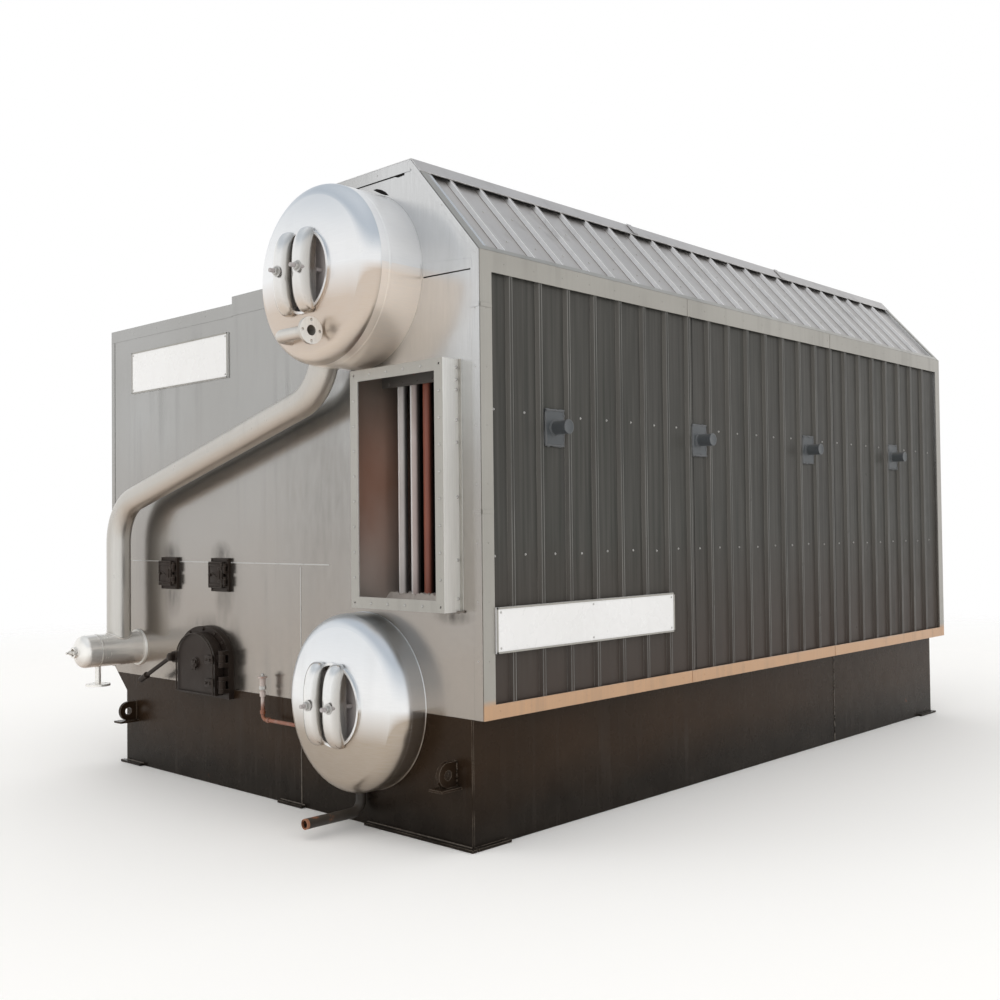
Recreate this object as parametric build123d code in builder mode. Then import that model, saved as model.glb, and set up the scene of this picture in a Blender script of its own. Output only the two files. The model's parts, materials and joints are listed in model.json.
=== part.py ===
"""Packaged double-drum water-tube boiler block, built from ground level up, in millimetres.

X runs across the end wall, Y along the length with the drum-end wall facing -Y, and Z up.
The origin is on the ground under the middle of the whole outline.
"""

import math
import os

from build123d import *

os.makedirs("parts", exist_ok=True)

# Casing
casing_width = 3600
casing_length = 5500
eave_height = 2926
roof_rise_height = 548
ridge_inset_width = 485
low_roof_lift_height = 39
low_roof_fall_height = 10
step_rise_height = 35
step_ledge_width = 430
skirt_height = 35
wall_thickness = 80
side_thickness = 100
roof_thickness = 80

# Ribbed cladding
rib_pitch = 225
rib_height = 20
rib_foot_width = 44
rib_crest_width = 22

# Steel base
base_left_inset_width = 196
base_right_inset_width = 82
base_rear_inset_length = 91
base_plate_thickness = 12
base_split_width = 566
flare_height = 151
flare_inset_width = 30
foot_thickness = 14
foot_reach_length = 30
left_foot_width = 224
split_foot_width = 195
drum_foot_gap = 11
side_foot_length = 235
hearth_drop_height = 40
hearth_thickness = 40

# Lifting lugs on the base
lug_inset_width = 118
lug_drop_height = 123
lug_reach_length = 120
lug_half_height = 62
lug_thickness = 24
lug_hole_radius = 24
lug_hole_reach_length = 60
shelf_width = 90
shelf_thickness = 12
shelf_reach_length = 135

# Drums, measured over their cladding
drum_inset_width = 874
drum_radius = 470
drum_wall_thickness = 45
drum_roof_gap = 32
lower_drum_lift_height = 20
lower_drum_ground_gap = 185
upper_drum_reach_length = 270
lower_drum_reach_length = 95
head_depth = 135
head_wall_thickness = 40
head_knuckle_radius = 90
manhole_half_width = 195
manhole_half_height = 205
lip_wall_thickness = 14
lip_depth = 60

# Manhole covers and yokes
cover_overlap_width = 16
cover_thickness = 30
yoke_pitch = 172
yoke_width = 118
yoke_half_height = 226
yoke_bulge_depth = 92
yoke_back_bulge_depth = 34
yoke_foot_depth = 60
stud_radius = 11
stud_proud_length = 46

# Furnace side header
header_inset_width = 351
header_lift_height = 153
header_radius = 106
header_wall_thickness = 12
header_reach_length = 381
header_cap_depth = 68
header_cap_knuckle_radius = 50
hand_hole_radius = 36
hand_hole_rim_thickness = 12
hand_hole_proud_length = 16
hand_stud_radius = 7
hand_stud_length = 61

# Header drain nozzle
drain_reach_length = 291
drain_drop_height = 230
drain_pipe_radius = 19
drain_bore_radius = 14
drain_flange_radius = 78
drain_flange_thickness = 14
drain_bolt_circle_diameter = 110
drain_bolt_radius = 7

# Downcomer from the upper drum to the header
downcomer_reach_length = 142
downcomer_radius = 78
downcomer_wall_thickness = 10
downcomer_bend_radius = 300
shoulder_back_width = 217
shoulder_drop_height = 596
downcomer_fall_height = 571

# Flanged elbow nozzle on the upper head
nozzle_left_width = 151
nozzle_drop_height = 325
nozzle_reach_length = 450
nozzle_pipe_radius = 34
nozzle_bore_radius = 27
nozzle_bend_radius = 60
nozzle_right_width = 136
nozzle_flange_radius = 70
nozzle_flange_thickness = 18
nozzle_bolt_circle_diameter = 106
nozzle_bolt_radius = 8

# Flue outlet collar
flue_left_gap = 19
flue_right_inset_width = 150
flue_sill_gap = 30
flue_head_gap = 20
flue_reach_length = 110
flange_leg_width = 60
flange_thickness = 8
collar_sheet_thickness = 10
flue_bolt_inset_width = 28
flue_bolt_radius = 6
flange_bolt_count = 4

# Convection tubes and the plate beside them
tube_radius = 25.5
tube_pitch_x = 100
tube_pitch_y = 115
tube_inset_width = 35
tube_first_depth = 175
tubes_across = 4
tubes_deep = 3
baffle_thickness = 40
baffle_depth = 420

# Fire door
fire_place_share = 0.474
fire_drop_height = 90
fire_width = 560
fire_height = 430
fire_frame_depth = 38
fire_arch_height = 190
throat_width = 300
throat_height = 240
throat_sill_height = 95
throat_arch_height = 110
leaf_shift_width = 19
leaf_width = 420
leaf_height = 372
leaf_sill_height = 23
leaf_arch_height = 170
leaf_thickness = 60
leaf_gap = 6
leaf_boss_radius = 34
leaf_boss_proud_length = 10
hinge_out_width = 34
hinge_pin_radius = 11
hinge_eye_radius = 22
hinge_eye_height = 46
hinge_ear_height = 26
hinge_root_width = 45
hinge_shares = (0.18, 0.6)

# Fire-door latch lever
lever_out_width = 67
lever_lift_height = 204
lever_boss_radius = 26
lever_ear_thickness = 40
lever_ear_height = 70
lever_root_share = 0.25
lever_hub_thickness = 30
lever_arm_length = 410
lever_arm_radius = 13
lever_grip_radius = 19
lever_grip_length = 80
lever_fall_degrees = 25
lever_pin_radius = 12

# Peep doors
peep_place_shares = (0.236, 0.561)
peep_rise_share = 0.428
peep_frame_width = 190
peep_frame_height = 206
peep_frame_depth = 20
peep_hole_width = 100
peep_hole_height = 90
peep_leaf_width = 150
peep_leaf_height = 160
peep_leaf_thickness = 16
peep_leaf_gap = 6
peep_leaf_shift_width = 14
peep_pin_radius = 5
peep_eye_radius = 10
peep_eye_height = 30
peep_ear_height = 14
peep_hinge_out_width = 17
peep_hinge_root_width = 10
peep_hinge_shares = (0.25, 0.75)
peep_knob_radius = 8
peep_knob_length = 14
peep_knob_inset_width = 24

# Small bore pipes
sample_drop_height = 185
sample_rise_height = 170
sample_reach_length = 60
sample_radius = 11
sample_left_width = 290
sample_bend_radius = 30
valve_radius = 17
valve_height = 70
valve_wheel_radius = 26
valve_wheel_thickness = 10
blowdown_height_share = 0.41
blowdown_back_length = 40
blowdown_end_length = 410
blowdown_radius = 27
blowdown_wall_thickness = 6
blowdown_bend_radius = 62

# Side ports
port_drop_height = 842
port_count = 4
port_plate_length = 150
port_plate_height = 185
port_plate_thickness = 12
port_radius = 36
port_reach_length = 108

# Trims, nameplate and sign panel
trim_thickness = 6
eave_trim_height = 104
sill_trim_height = 72
corner_trim_width = 80
flashing_drop_length = 100
name_inset_width = 288
name_step_gap = 44
name_drop_height = 178
name_height = 279
name_thickness = 8
sign_first_length = 84
sign_length = 1506
sign_lift_height = 317
sign_height = 226
sign_thickness = 14

# Clearances: round parts in their holes, and the faces of a hinge
round_gap = 0.3
hinge_gap = 1
half_share = 0.5

# Places along the length
header_stud_end_length = header_reach_length + header_cap_depth + hand_stud_length
manhole_stud_end_length = upper_drum_reach_length + head_depth + yoke_bulge_depth + stud_proud_length
front_reach_length = max(header_stud_end_length, manhole_stud_end_length)
rear_reach_length = upper_drum_reach_length + head_depth
overall_length = front_reach_length + casing_length + rear_reach_length
front_y = front_reach_length - overall_length / 2
rear_y = front_y + casing_length
inner_front_y = front_y + wall_thickness
inner_rear_y = rear_y - wall_thickness
inner_length = inner_rear_y - inner_front_y
base_rear_y = rear_y - base_rear_inset_length
base_inner_length = base_rear_y - front_y - 2 * base_plate_thickness

# Heights
lower_drum_height = lower_drum_ground_gap + drum_radius
casing_bottom_height = lower_drum_height - lower_drum_lift_height
ridge_height = eave_height + roof_rise_height
low_roof_height = eave_height + low_roof_lift_height
step_height = low_roof_height + step_rise_height
skirt_bottom_height = casing_bottom_height - skirt_height
flare_bottom_height = casing_bottom_height - flare_height
hearth_height = skirt_bottom_height - hearth_drop_height
lug_height = flare_bottom_height - lug_drop_height
upper_drum_height = ridge_height - roof_thickness - drum_roof_gap - drum_radius
header_height = casing_bottom_height + header_lift_height
drain_face_height = header_height - drain_drop_height
shoulder_height = upper_drum_height - shoulder_drop_height
knee_height = shoulder_height - downcomer_fall_height
nozzle_height = upper_drum_height - nozzle_drop_height
flue_bottom_height = lower_drum_height + drum_radius + flue_sill_gap
flue_top_height = upper_drum_height - drum_radius - flue_head_gap
fire_bottom_height = casing_bottom_height - fire_drop_height
fire_top_height = fire_bottom_height + fire_height
throat_bottom_height = fire_bottom_height + throat_sill_height
leaf_bottom_height = fire_bottom_height + leaf_sill_height
lever_height = leaf_bottom_height + lever_lift_height
peep_height = fire_top_height + peep_rise_share * (knee_height - fire_top_height)
sample_height = lower_drum_height - sample_drop_height
sample_top_height = sample_height + sample_rise_height
blowdown_height = blowdown_height_share * lower_drum_ground_gap
port_height = eave_height - port_drop_height
name_top_height = low_roof_height - name_drop_height
sign_bottom_height = casing_bottom_height + sign_lift_height

# Corners of the roof section
half_width = casing_width / 2
drum_x = half_width - drum_inset_width
ridge_x = half_width - ridge_inset_width
slope_length = math.hypot(ridge_inset_width, roof_rise_height)
slope_dx = ridge_inset_width / slope_length
slope_dz = roof_rise_height / slope_length
left_ridge_x = 2 * drum_x - ridge_x
left_foot_x = left_ridge_x - ridge_inset_width * (ridge_height - step_height) / roof_rise_height
step_x = left_foot_x - step_ledge_width
slope_cut = roof_thickness / slope_dz
ridge_cut = roof_thickness / slope_dx
low_roof_end_x = left_foot_x + slope_cut
pan_x = half_width - rib_height

# Places across the base and the end wall
base_left_x = base_left_inset_width - half_width
base_right_x = half_width - base_right_inset_width
base_split_x = drum_x - base_split_width
flare_x = flare_inset_width - half_width
flare_share = (skirt_bottom_height - flare_bottom_height) / flare_height
flare_mid_x = base_left_x + (flare_x - base_left_x) * flare_share
foot_spans = (
    (base_left_x - foot_reach_length, base_left_x + left_foot_width),
    (base_split_x - split_foot_width, base_split_x + foot_reach_length),
    (drum_x + drum_foot_gap, base_right_x + foot_reach_length),
)
lug_xs = (base_left_x + lug_inset_width, base_right_x - lug_inset_width)
header_x = header_inset_width - half_width
furnace_span = base_split_x - header_x
fire_x = header_x + fire_place_share * furnace_span
leaf_x = fire_x + leaf_shift_width
leaf_right_x = leaf_x + leaf_width / 2
leaf_left_x = leaf_x - leaf_width / 2
lever_x = leaf_left_x - lever_out_width
peep_xs = [header_x + share * furnace_span for share in peep_place_shares]
nozzle_x = drum_x - nozzle_left_width
nozzle_flange_x = drum_x + nozzle_right_width
sample_left_x = base_split_x - sample_left_width

# Flue outlet: over its flange, the clear opening, and inside its duct
flue_left_x = drum_x + flue_left_gap
flue_right_x = half_width - flue_right_inset_width
flue_mid_x = (flue_left_x + flue_right_x) / 2
flue_mid_height = (flue_bottom_height + flue_top_height) / 2
flue_width = flue_right_x - flue_left_x
flue_height = flue_top_height - flue_bottom_height
flue_in_left_x = flue_left_x + flange_leg_width
flue_in_width = flue_width - 2 * flange_leg_width
flue_in_height = flue_height - 2 * flange_leg_width
duct_left_x = flue_left_x + collar_sheet_thickness
duct_width = flue_width - 2 * collar_sheet_thickness
duct_height = flue_height - 2 * collar_sheet_thickness


def facing_front(y):
    """A plane across the boiler at y, seen from the drum end: X to the right, Z up."""
    return Plane(origin=(0, y, 0), x_dir=(1, 0, 0), z_dir=(0, -1, 0))


def facing_side(x):
    """A plane along the boiler at x, seen from the right: Y to the right, Z up."""
    return Plane(origin=(x, 0, 0), x_dir=(0, 1, 0), z_dir=(1, 0, 0))


def finish(part, label):
    """Name a finished piece and write its file."""
    part.label = label
    export_step(part, "parts/" + label + ".step")


def face_of(outline):
    """Fill a closed outline in the current sketch."""
    Polygon(*outline, align=None)


def box_between(low, high, mode=Mode.ADD):
    """A block given by its two far corners."""
    size = [b - a for a, b in zip(low, high)]
    with Locations(tuple((a + b) / 2 for a, b in zip(low, high))):
        Box(*size, mode=mode)


def rod_along(x, y, z, radius, length, mode=Mode.ADD):
    """A round bar along the length, running back from y."""
    with Locations(Location((x, y + length / 2, z), (90, 0, 0))):
        Cylinder(radius, length, mode=mode)


def cut_drums(y, depth):
    """Cut both drum openings through a wall that runs back from y."""
    for height in (upper_drum_height, lower_drum_height):
        rod_along(drum_x, y, height, drum_radius + round_gap, depth, Mode.SUBTRACT)


def section_piece(outline, y, length, label):
    """A piece with one section across the boiler, running back from y."""
    with BuildPart() as piece:
        with BuildSketch(facing_front(y)):
            face_of(outline)
        extrude(amount=-length)
    finish(piece.part, label)


def arch(x, bottom, width, height, rise):
    """A doorway outline with a half-oval top, standing on bottom."""
    straight = height - rise
    with BuildSketch(mode=Mode.PRIVATE) as doorway:
        with Locations((x, bottom + straight / 2)):
            Rectangle(width, straight)
        with Locations((x, bottom + straight)):
            Ellipse(width / 2, rise)
    return doorway.sketch


def dished_curve(rim_y, out, axis_z, radius, depth, knuckle, inset):
    """Half the section of a dished end, inset from its outer skin: rim, crown join and apex."""
    flat = radius - knuckle
    rise = depth - knuckle
    crown_y = (rise**2 - flat**2) / (2 * rise)
    crown = depth - crown_y
    lean = math.atan2(flat, -crown_y)
    small = knuckle - inset
    large = crown - inset

    def on_knuckle(angle):
        return (rim_y + out * small * math.cos(angle), axis_z + flat + small * math.sin(angle))

    def on_crown(angle):
        return (rim_y + out * (crown_y + large * math.cos(angle)), axis_z + large * math.sin(angle))

    half_knuckle = (math.pi / 2 + lean) / 2
    return [
        (on_knuckle(math.pi / 2), on_knuckle(half_knuckle), on_knuckle(lean)),
        (on_crown(lean), on_crown(lean / 2), on_crown(0)),
    ]


def crown_centre(depth, radius, knuckle):
    """How far the crown's centre lies outside the rim, and the crown's radius."""
    rise = depth - knuckle
    offset = (rise**2 - (radius - knuckle) ** 2) / (2 * rise)
    return offset, depth - offset


def dished_section(x, rim_y, out, axis_z, radius, depth, knuckle, wall):
    """Half the section of a dished end with its rim at rim_y and its crown towards out."""
    outer = dished_curve(rim_y, out, axis_z, radius, depth, knuckle, 0)
    inner = dished_curve(rim_y, out, axis_z, radius, depth, knuckle, wall)
    with BuildSketch(facing_side(x)) as section:
        with BuildLine():
            ThreePointArc(*outer[0])
            ThreePointArc(*outer[1])
            Line(outer[1][2], inner[1][2])
            ThreePointArc(*inner[1])
            ThreePointArc(*inner[0])
            Line(inner[0][0], outer[0][0])
        make_face()
    return section.sketch


def level_axis(x, z):
    """A line along the length at x and z."""
    return Axis((x, 0, z), (0, 1, 0))


def hinge_ears(x, y, back_y, heights, eye, ear, eye_radius, pin_radius):
    """Fixed hinge ears above and below each leaf eye, standing on back_y, with their pins."""
    for height in heights:
        for side in (-1, 1):
            middle = height + side * (eye / 2 + hinge_gap + ear / 2)
            with Locations((x, y, middle)):
                Cylinder(eye_radius, ear)
            low = (x - eye_radius, y, middle - ear / 2)
            high = (x + eye_radius, back_y, middle + ear / 2)
            box_between(low, high)
        with Locations((x, y, height)):
            Cylinder(pin_radius, eye + 2 * hinge_gap)


def hinge_eyes(x, y, root_x, thickness, heights, eye, eye_radius, pin_radius):
    """Leaf hinge eyes about the pins, each with an arm that is rooted in the leaf at root_x."""
    for height in heights:
        with Locations((x, y, height)):
            Cylinder(eye_radius, eye)
        low = (root_x, y - thickness / 2, height - eye / 2)
        high = (x, y + thickness / 2, height + eye / 2)
        box_between(low, high)
        with Locations((x, y, height)):
            Cylinder(pin_radius + round_gap, eye, mode=Mode.SUBTRACT)


def lugs(y, out):
    """Lifting lugs with their shelves on a base plate whose outer face is at y."""
    for x in lug_xs:
        tip = y + out * (lug_reach_length - lug_half_height)
        low = lug_height - lug_half_height
        near, far = sorted((y, tip))
        box_between(
            (x - lug_thickness / 2, near, low),
            (x + lug_thickness / 2, far, low + 2 * lug_half_height),
        )
        with Locations(Location((x, tip, lug_height), (0, 90, 0))):
            Cylinder(lug_half_height, lug_thickness)
        with Locations(Location((x, y + out * lug_hole_reach_length, lug_height), (0, 90, 0))):
            Cylinder(lug_hole_radius, lug_thickness, mode=Mode.SUBTRACT)
        ends = sorted((y, y + out * shelf_reach_length))
        shelf_low = (x - shelf_width / 2, ends[0], low - shelf_thickness)
        shelf_high = (x + shelf_width / 2, ends[1], low)
        box_between(shelf_low, shelf_high)


def base_end(outline, y, out, label):
    """One end plate of the steel base with its drum notch, foot plates and lifting lugs."""
    back = y - out * base_plate_thickness
    with BuildPart() as piece:
        with BuildSketch(facing_front(min(y, back))):
            face_of(outline)
            with Locations((drum_x, lower_drum_height)):
                Circle(drum_radius + round_gap, mode=Mode.SUBTRACT)
        extrude(amount=-base_plate_thickness)
        ends = sorted((y, y + out * foot_reach_length))
        for first, last in foot_spans:
            box_between((first, ends[0], 0), (last, ends[1], foot_thickness))
        lugs(y, out)
    finish(piece.part, label)


# Steel base
base_end(
    [
        (base_left_x, 0),
        (base_right_x, 0),
        (base_right_x, casing_bottom_height),
        (base_split_x, casing_bottom_height),
        (base_split_x, skirt_bottom_height),
        (flare_mid_x, skirt_bottom_height),
        (base_left_x, flare_bottom_height),
    ],
    front_y,
    -1,
    "base_front",
)
base_end(
    [
        (base_left_x, 0),
        (base_right_x, 0),
        (base_right_x, casing_bottom_height),
        (flare_x, casing_bottom_height),
        (base_left_x, flare_bottom_height),
    ],
    base_rear_y,
    1,
    "base_rear",
)
section_piece(
    [
        (base_left_x, 0),
        (base_left_x + base_plate_thickness, 0),
        (base_left_x + base_plate_thickness, flare_bottom_height),
        (flare_x + base_plate_thickness, casing_bottom_height),
        (flare_x, casing_bottom_height),
        (base_left_x, flare_bottom_height),
    ],
    front_y + base_plate_thickness,
    base_inner_length,
    "base_left",
)

with BuildPart() as base_right_plate:
    box_between(
        (base_right_x - base_plate_thickness, front_y + base_plate_thickness, 0),
        (base_right_x, base_rear_y - base_plate_thickness, casing_bottom_height),
    )
    for start in (front_y + base_plate_thickness, base_rear_y - base_plate_thickness - side_foot_length):
        box_between(
            (base_right_x, start, 0),
            (base_right_x + foot_reach_length, start + side_foot_length, foot_thickness),
        )
finish(base_right_plate.part, "base_right")

with BuildPart() as hearth:
    box_between(
        (
            base_left_x + base_plate_thickness,
            front_y + base_plate_thickness,
            hearth_height - hearth_thickness,
        ),
        (base_split_x, base_rear_y - base_plate_thickness, hearth_height),
    )
finish(hearth.part, "hearth")

# End walls of the casing, each in a furnace part and a drum part
furnace_outline = [
    (-half_width, casing_bottom_height),
    (left_foot_x, casing_bottom_height),
    (left_foot_x, step_height),
    (step_x, step_height),
    (step_x, low_roof_height - low_roof_fall_height),
    (-half_width, low_roof_height),
]
drum_outline = [
    (left_foot_x, casing_bottom_height),
    (half_width, casing_bottom_height),
    (half_width, eave_height),
    (ridge_x, ridge_height),
    (left_ridge_x, ridge_height),
    (left_foot_x, step_height),
]

throat_outline = arch(
    fire_x, throat_bottom_height, throat_width, throat_height, throat_arch_height
)

with BuildPart() as end_wall:
    with BuildSketch(facing_front(front_y)):
        face_of(furnace_outline)
        with Locations((header_x, header_height)):
            Circle(header_radius + round_gap, mode=Mode.SUBTRACT)
        with Locations(*[(x, peep_height) for x in peep_xs]):
            Rectangle(peep_hole_width, peep_hole_height, mode=Mode.SUBTRACT)
        add(throat_outline, mode=Mode.SUBTRACT)
    extrude(amount=-wall_thickness)
    with BuildSketch(facing_front(front_y)):
        face_of(
            [
                (left_foot_x, casing_bottom_height),
                (left_foot_x, skirt_bottom_height),
                (flare_mid_x, skirt_bottom_height),
                (flare_x, casing_bottom_height),
            ]
        )
    extrude(amount=-base_plate_thickness)
finish(end_wall.part, "end_wall")

with BuildPart() as drum_wall:
    with BuildSketch(facing_front(front_y)):
        face_of(drum_outline)
        with Locations((flue_mid_x, flue_mid_height)):
            Rectangle(duct_width, duct_height, mode=Mode.SUBTRACT)
    extrude(amount=-wall_thickness)
    cut_drums(front_y, wall_thickness)
    box_between(
        (left_foot_x, front_y, skirt_bottom_height),
        (base_split_x, front_y + base_plate_thickness, casing_bottom_height),
    )
finish(drum_wall.part, "drum_wall")

section_piece(furnace_outline, inner_rear_y, wall_thickness, "rear_wall")

with BuildPart() as rear_drum_wall:
    with BuildSketch(facing_front(inner_rear_y)):
        face_of(drum_outline)
    extrude(amount=-wall_thickness)
    cut_drums(inner_rear_y, wall_thickness)
finish(rear_drum_wall.part, "rear_drum_wall")


def ribbed_outline(first, last, back, pan):
    """Outline of a ribbed panel along the length, from its back face out to its rib crests."""
    points = [(first, back), (first, pan)]
    crest = pan + math.copysign(rib_height, pan - back)
    middle = front_y + rib_pitch
    while middle + rib_foot_width / 2 < last:
        if middle - rib_foot_width / 2 > first:
            points += [
                (middle - rib_foot_width / 2, pan),
                (middle - rib_crest_width / 2, crest),
                (middle + rib_crest_width / 2, crest),
                (middle + rib_foot_width / 2, pan),
            ]
        middle += rib_pitch
    return points + [(last, pan), (last, back)]


def side_wall(side, top, label):
    """A ribbed side wall; side is 1 on the right and -1 on the left."""
    back = side * (half_width - side_thickness)
    outline = ribbed_outline(inner_front_y, inner_rear_y, back, side * pan_x)
    with BuildPart() as piece:
        with BuildSketch(Plane.XY.offset(casing_bottom_height)):
            face_of([(across, along) for along, across in outline])
        extrude(amount=top - casing_bottom_height)
    finish(piece.part, label)


side_wall(1, eave_height, "side_wall_right")
side_wall(-1, low_roof_height - roof_thickness, "side_wall_left")

# Roof
section_piece(
    [
        (-half_width, low_roof_height - roof_thickness),
        (low_roof_end_x, low_roof_height - roof_thickness),
        (low_roof_end_x, step_height),
        (step_x, step_height),
        (step_x, low_roof_height - low_roof_fall_height),
        (-half_width, low_roof_height),
    ],
    inner_front_y,
    inner_length,
    "low_roof",
)
section_piece(
    [
        (left_ridge_x, ridge_height - roof_thickness),
        (ridge_x, ridge_height - roof_thickness),
        (ridge_x, ridge_height),
        (left_ridge_x, ridge_height),
    ],
    inner_front_y,
    inner_length,
    "top_roof",
)


def slope(side, foot_x, foot_z, label):
    """A ribbed roof slope from its foot up to the ridge; side is 1 where it faces +X."""
    top_x = ridge_x if side > 0 else left_ridge_x
    climb = (-side * slope_dx, 0, slope_dz)
    along = Plane(origin=(foot_x, 0, foot_z), x_dir=(0, -side, 0), z_dir=climb)
    outline = ribbed_outline(inner_front_y, inner_rear_y, -roof_thickness - rib_height, -rib_height)
    section = [
        (foot_x, foot_z),
        (top_x, ridge_height),
        (top_x, ridge_height - ridge_cut),
        (foot_x - side * slope_cut, foot_z),
    ]
    with BuildPart() as piece:
        with BuildSketch(along):
            face_of([(-side * y, depth) for y, depth in outline])
        extrude(amount=slope_length, both=True)
        with BuildSketch(facing_front(inner_front_y)):
            face_of(section)
        extrude(amount=-inner_length, mode=Mode.INTERSECT)
    finish(piece.part, label)


slope(1, half_width, eave_height, "roof_slope_right")
slope(-1, left_foot_x, step_height, "roof_slope_left")

# Trims
cap_corner = trim_thickness * (1 - slope_dx) / slope_dz
cap_half = ridge_x - drum_x
cap_drop_x = flashing_drop_length * slope_dx
cap_drop_z = flashing_drop_length * slope_dz
cap_out_x = trim_thickness * slope_dz
cap_out_z = trim_thickness * slope_dx
right_cap = [
    (cap_half, ridge_height),
    (cap_half + cap_drop_x, ridge_height - cap_drop_z),
    (cap_half + cap_drop_x + cap_out_x, ridge_height - cap_drop_z + cap_out_z),
    (cap_half + cap_corner, ridge_height + trim_thickness),
]
section_piece(
    [(drum_x + across, up) for across, up in right_cap]
    + [(drum_x - across, up) for across, up in reversed(right_cap)],
    front_y,
    casing_length,
    "ridge_cap",
)


# Frames of flat trims round both ribbed side walls
with BuildPart() as side_trims:
    for side, top in ((1, eave_height), (-1, low_roof_height)):
        low = casing_bottom_height + sill_trim_height
        high = top - eave_trim_height
        with BuildSketch(facing_side(side * half_width)):
            with Locations(((front_y + rear_y) / 2, (casing_bottom_height + top) / 2)):
                Rectangle(casing_length, top - casing_bottom_height)
            with Locations(((front_y + rear_y) / 2, (low + high) / 2)):
                Rectangle(casing_length - 2 * corner_trim_width, high - low, mode=Mode.SUBTRACT)
        extrude(amount=side * trim_thickness)
finish(side_trims.part, "side_trims")


# Drums
def drum_shell(height, reach, label):
    """The long clad shell of a drum, open at both ends."""
    with BuildPart() as piece:
        with BuildSketch(facing_front(front_y - reach)):
            with Locations((drum_x, height)):
                Circle(drum_radius)
                Circle(drum_radius - drum_wall_thickness, mode=Mode.SUBTRACT)
        extrude(amount=-(casing_length + 2 * reach))
    finish(piece.part, label)


def head_section(rim_y, out, height):
    """Half the section of a drum end."""
    return dished_section(
        drum_x,
        rim_y,
        out,
        height,
        drum_radius,
        head_depth,
        head_knuckle_radius,
        head_wall_thickness,
    )


def front_head(height, reach, label):
    """A dished drum end with an oval manhole and its lip."""
    rim_y = front_y - reach
    apex_y = rim_y - head_depth
    with BuildPart() as piece:
        section = head_section(rim_y, -1, height)
        revolve(section, axis=level_axis(drum_x, height))
        with BuildSketch(facing_front(apex_y)):
            with Locations((drum_x, height)):
                Ellipse(manhole_half_width + lip_wall_thickness, manhole_half_height + lip_wall_thickness)
        extrude(amount=-lip_depth)
        with BuildSketch(facing_front(apex_y)):
            with Locations((drum_x, height)):
                Ellipse(manhole_half_width, manhole_half_height)
        extrude(amount=-lip_depth, mode=Mode.SUBTRACT)
    finish(piece.part, label)


def rear_head(height, reach, label):
    """A plain dished drum end."""
    with BuildPart() as piece:
        section = head_section(rear_y + reach, 1, height)
        revolve(section, axis=level_axis(drum_x, height))
    finish(piece.part, label)


def manhole_cover(height, reach, label):
    """The oval cover seated behind the manhole lip, with the two studs that pull it shut."""
    apex_y = front_y - reach - head_depth
    seat_y = apex_y + lip_depth
    with BuildPart() as piece:
        with BuildSketch(facing_front(seat_y)):
            with Locations((drum_x, height)):
                Ellipse(manhole_half_width + cover_overlap_width, manhole_half_height + cover_overlap_width)
        extrude(amount=-cover_thickness)
        with BuildSketch(facing_front(seat_y)):
            with Locations(
                (drum_x - yoke_pitch / 2, height), (drum_x + yoke_pitch / 2, height)
            ):
                Circle(stud_radius)
        extrude(amount=lip_depth + yoke_bulge_depth + stud_proud_length)
    finish(piece.part, label)


def yokes(height, reach, label):
    """Two arched yokes that bridge the manhole and stand on the drum end."""
    apex_y = front_y - reach - head_depth
    offset, crown = crown_centre(head_depth, drum_radius, head_knuckle_radius)
    with BuildPart() as piece:
        for side in (-1, 1):
            middle = drum_x + side * yoke_pitch / 2
            with BuildSketch(facing_side(middle - yoke_width / 2)):
                with BuildLine():
                    low = (apex_y, height - yoke_half_height)
                    high = (apex_y, height + yoke_half_height)
                    low_foot = (apex_y + yoke_foot_depth, height - yoke_half_height)
                    high_foot = (apex_y + yoke_foot_depth, height + yoke_half_height)
                    low_in = (apex_y + yoke_foot_depth, height - manhole_half_height - lip_wall_thickness)
                    high_in = (apex_y + yoke_foot_depth, height + manhole_half_height + lip_wall_thickness)
                    low_step = (apex_y, height - manhole_half_height - lip_wall_thickness)
                    high_step = (apex_y, height + manhole_half_height + lip_wall_thickness)
                    ThreePointArc(low, (apex_y - yoke_bulge_depth, height), high)
                    Line(high, high_foot)
                    Line(high_foot, high_in)
                    Line(high_in, high_step)
                    ThreePointArc(high_step, (apex_y - yoke_back_bulge_depth, height), low_step)
                    Line(low_step, low_in)
                    Line(low_in, low_foot)
                    Line(low_foot, low)
                make_face()
            extrude(amount=yoke_width)
            with BuildSketch(facing_front(apex_y - yoke_bulge_depth)):
                with Locations((middle, height)):
                    Circle(stud_radius + round_gap)
            extrude(amount=-yoke_bulge_depth, mode=Mode.SUBTRACT)
        with Locations((drum_x, front_y - reach - offset, height)):
            Sphere(crown + round_gap, mode=Mode.SUBTRACT)
    finish(piece.part, label)


for drum, height, reach in (
    ("upper", upper_drum_height, upper_drum_reach_length),
    ("lower", lower_drum_height, lower_drum_reach_length),
):
    drum_shell(height, reach, drum + "_drum_shell")
    front_head(height, reach, drum + "_head_front")
    rear_head(height, reach, drum + "_head_rear")
    manhole_cover(height, reach, drum + "_manhole_cover")
    yokes(height, reach, drum + "_yokes")

# Furnace side header
header_rim_y = front_y - header_reach_length
header_tip_y = header_rim_y - header_cap_depth

with BuildPart() as header:
    with BuildSketch(facing_front(header_rim_y)):
        with Locations((header_x, header_height)):
            Circle(header_radius)
            Circle(header_radius - header_wall_thickness, mode=Mode.SUBTRACT)
    extrude(amount=-(inner_rear_y - header_rim_y))
finish(header.part, "side_header")

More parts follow.
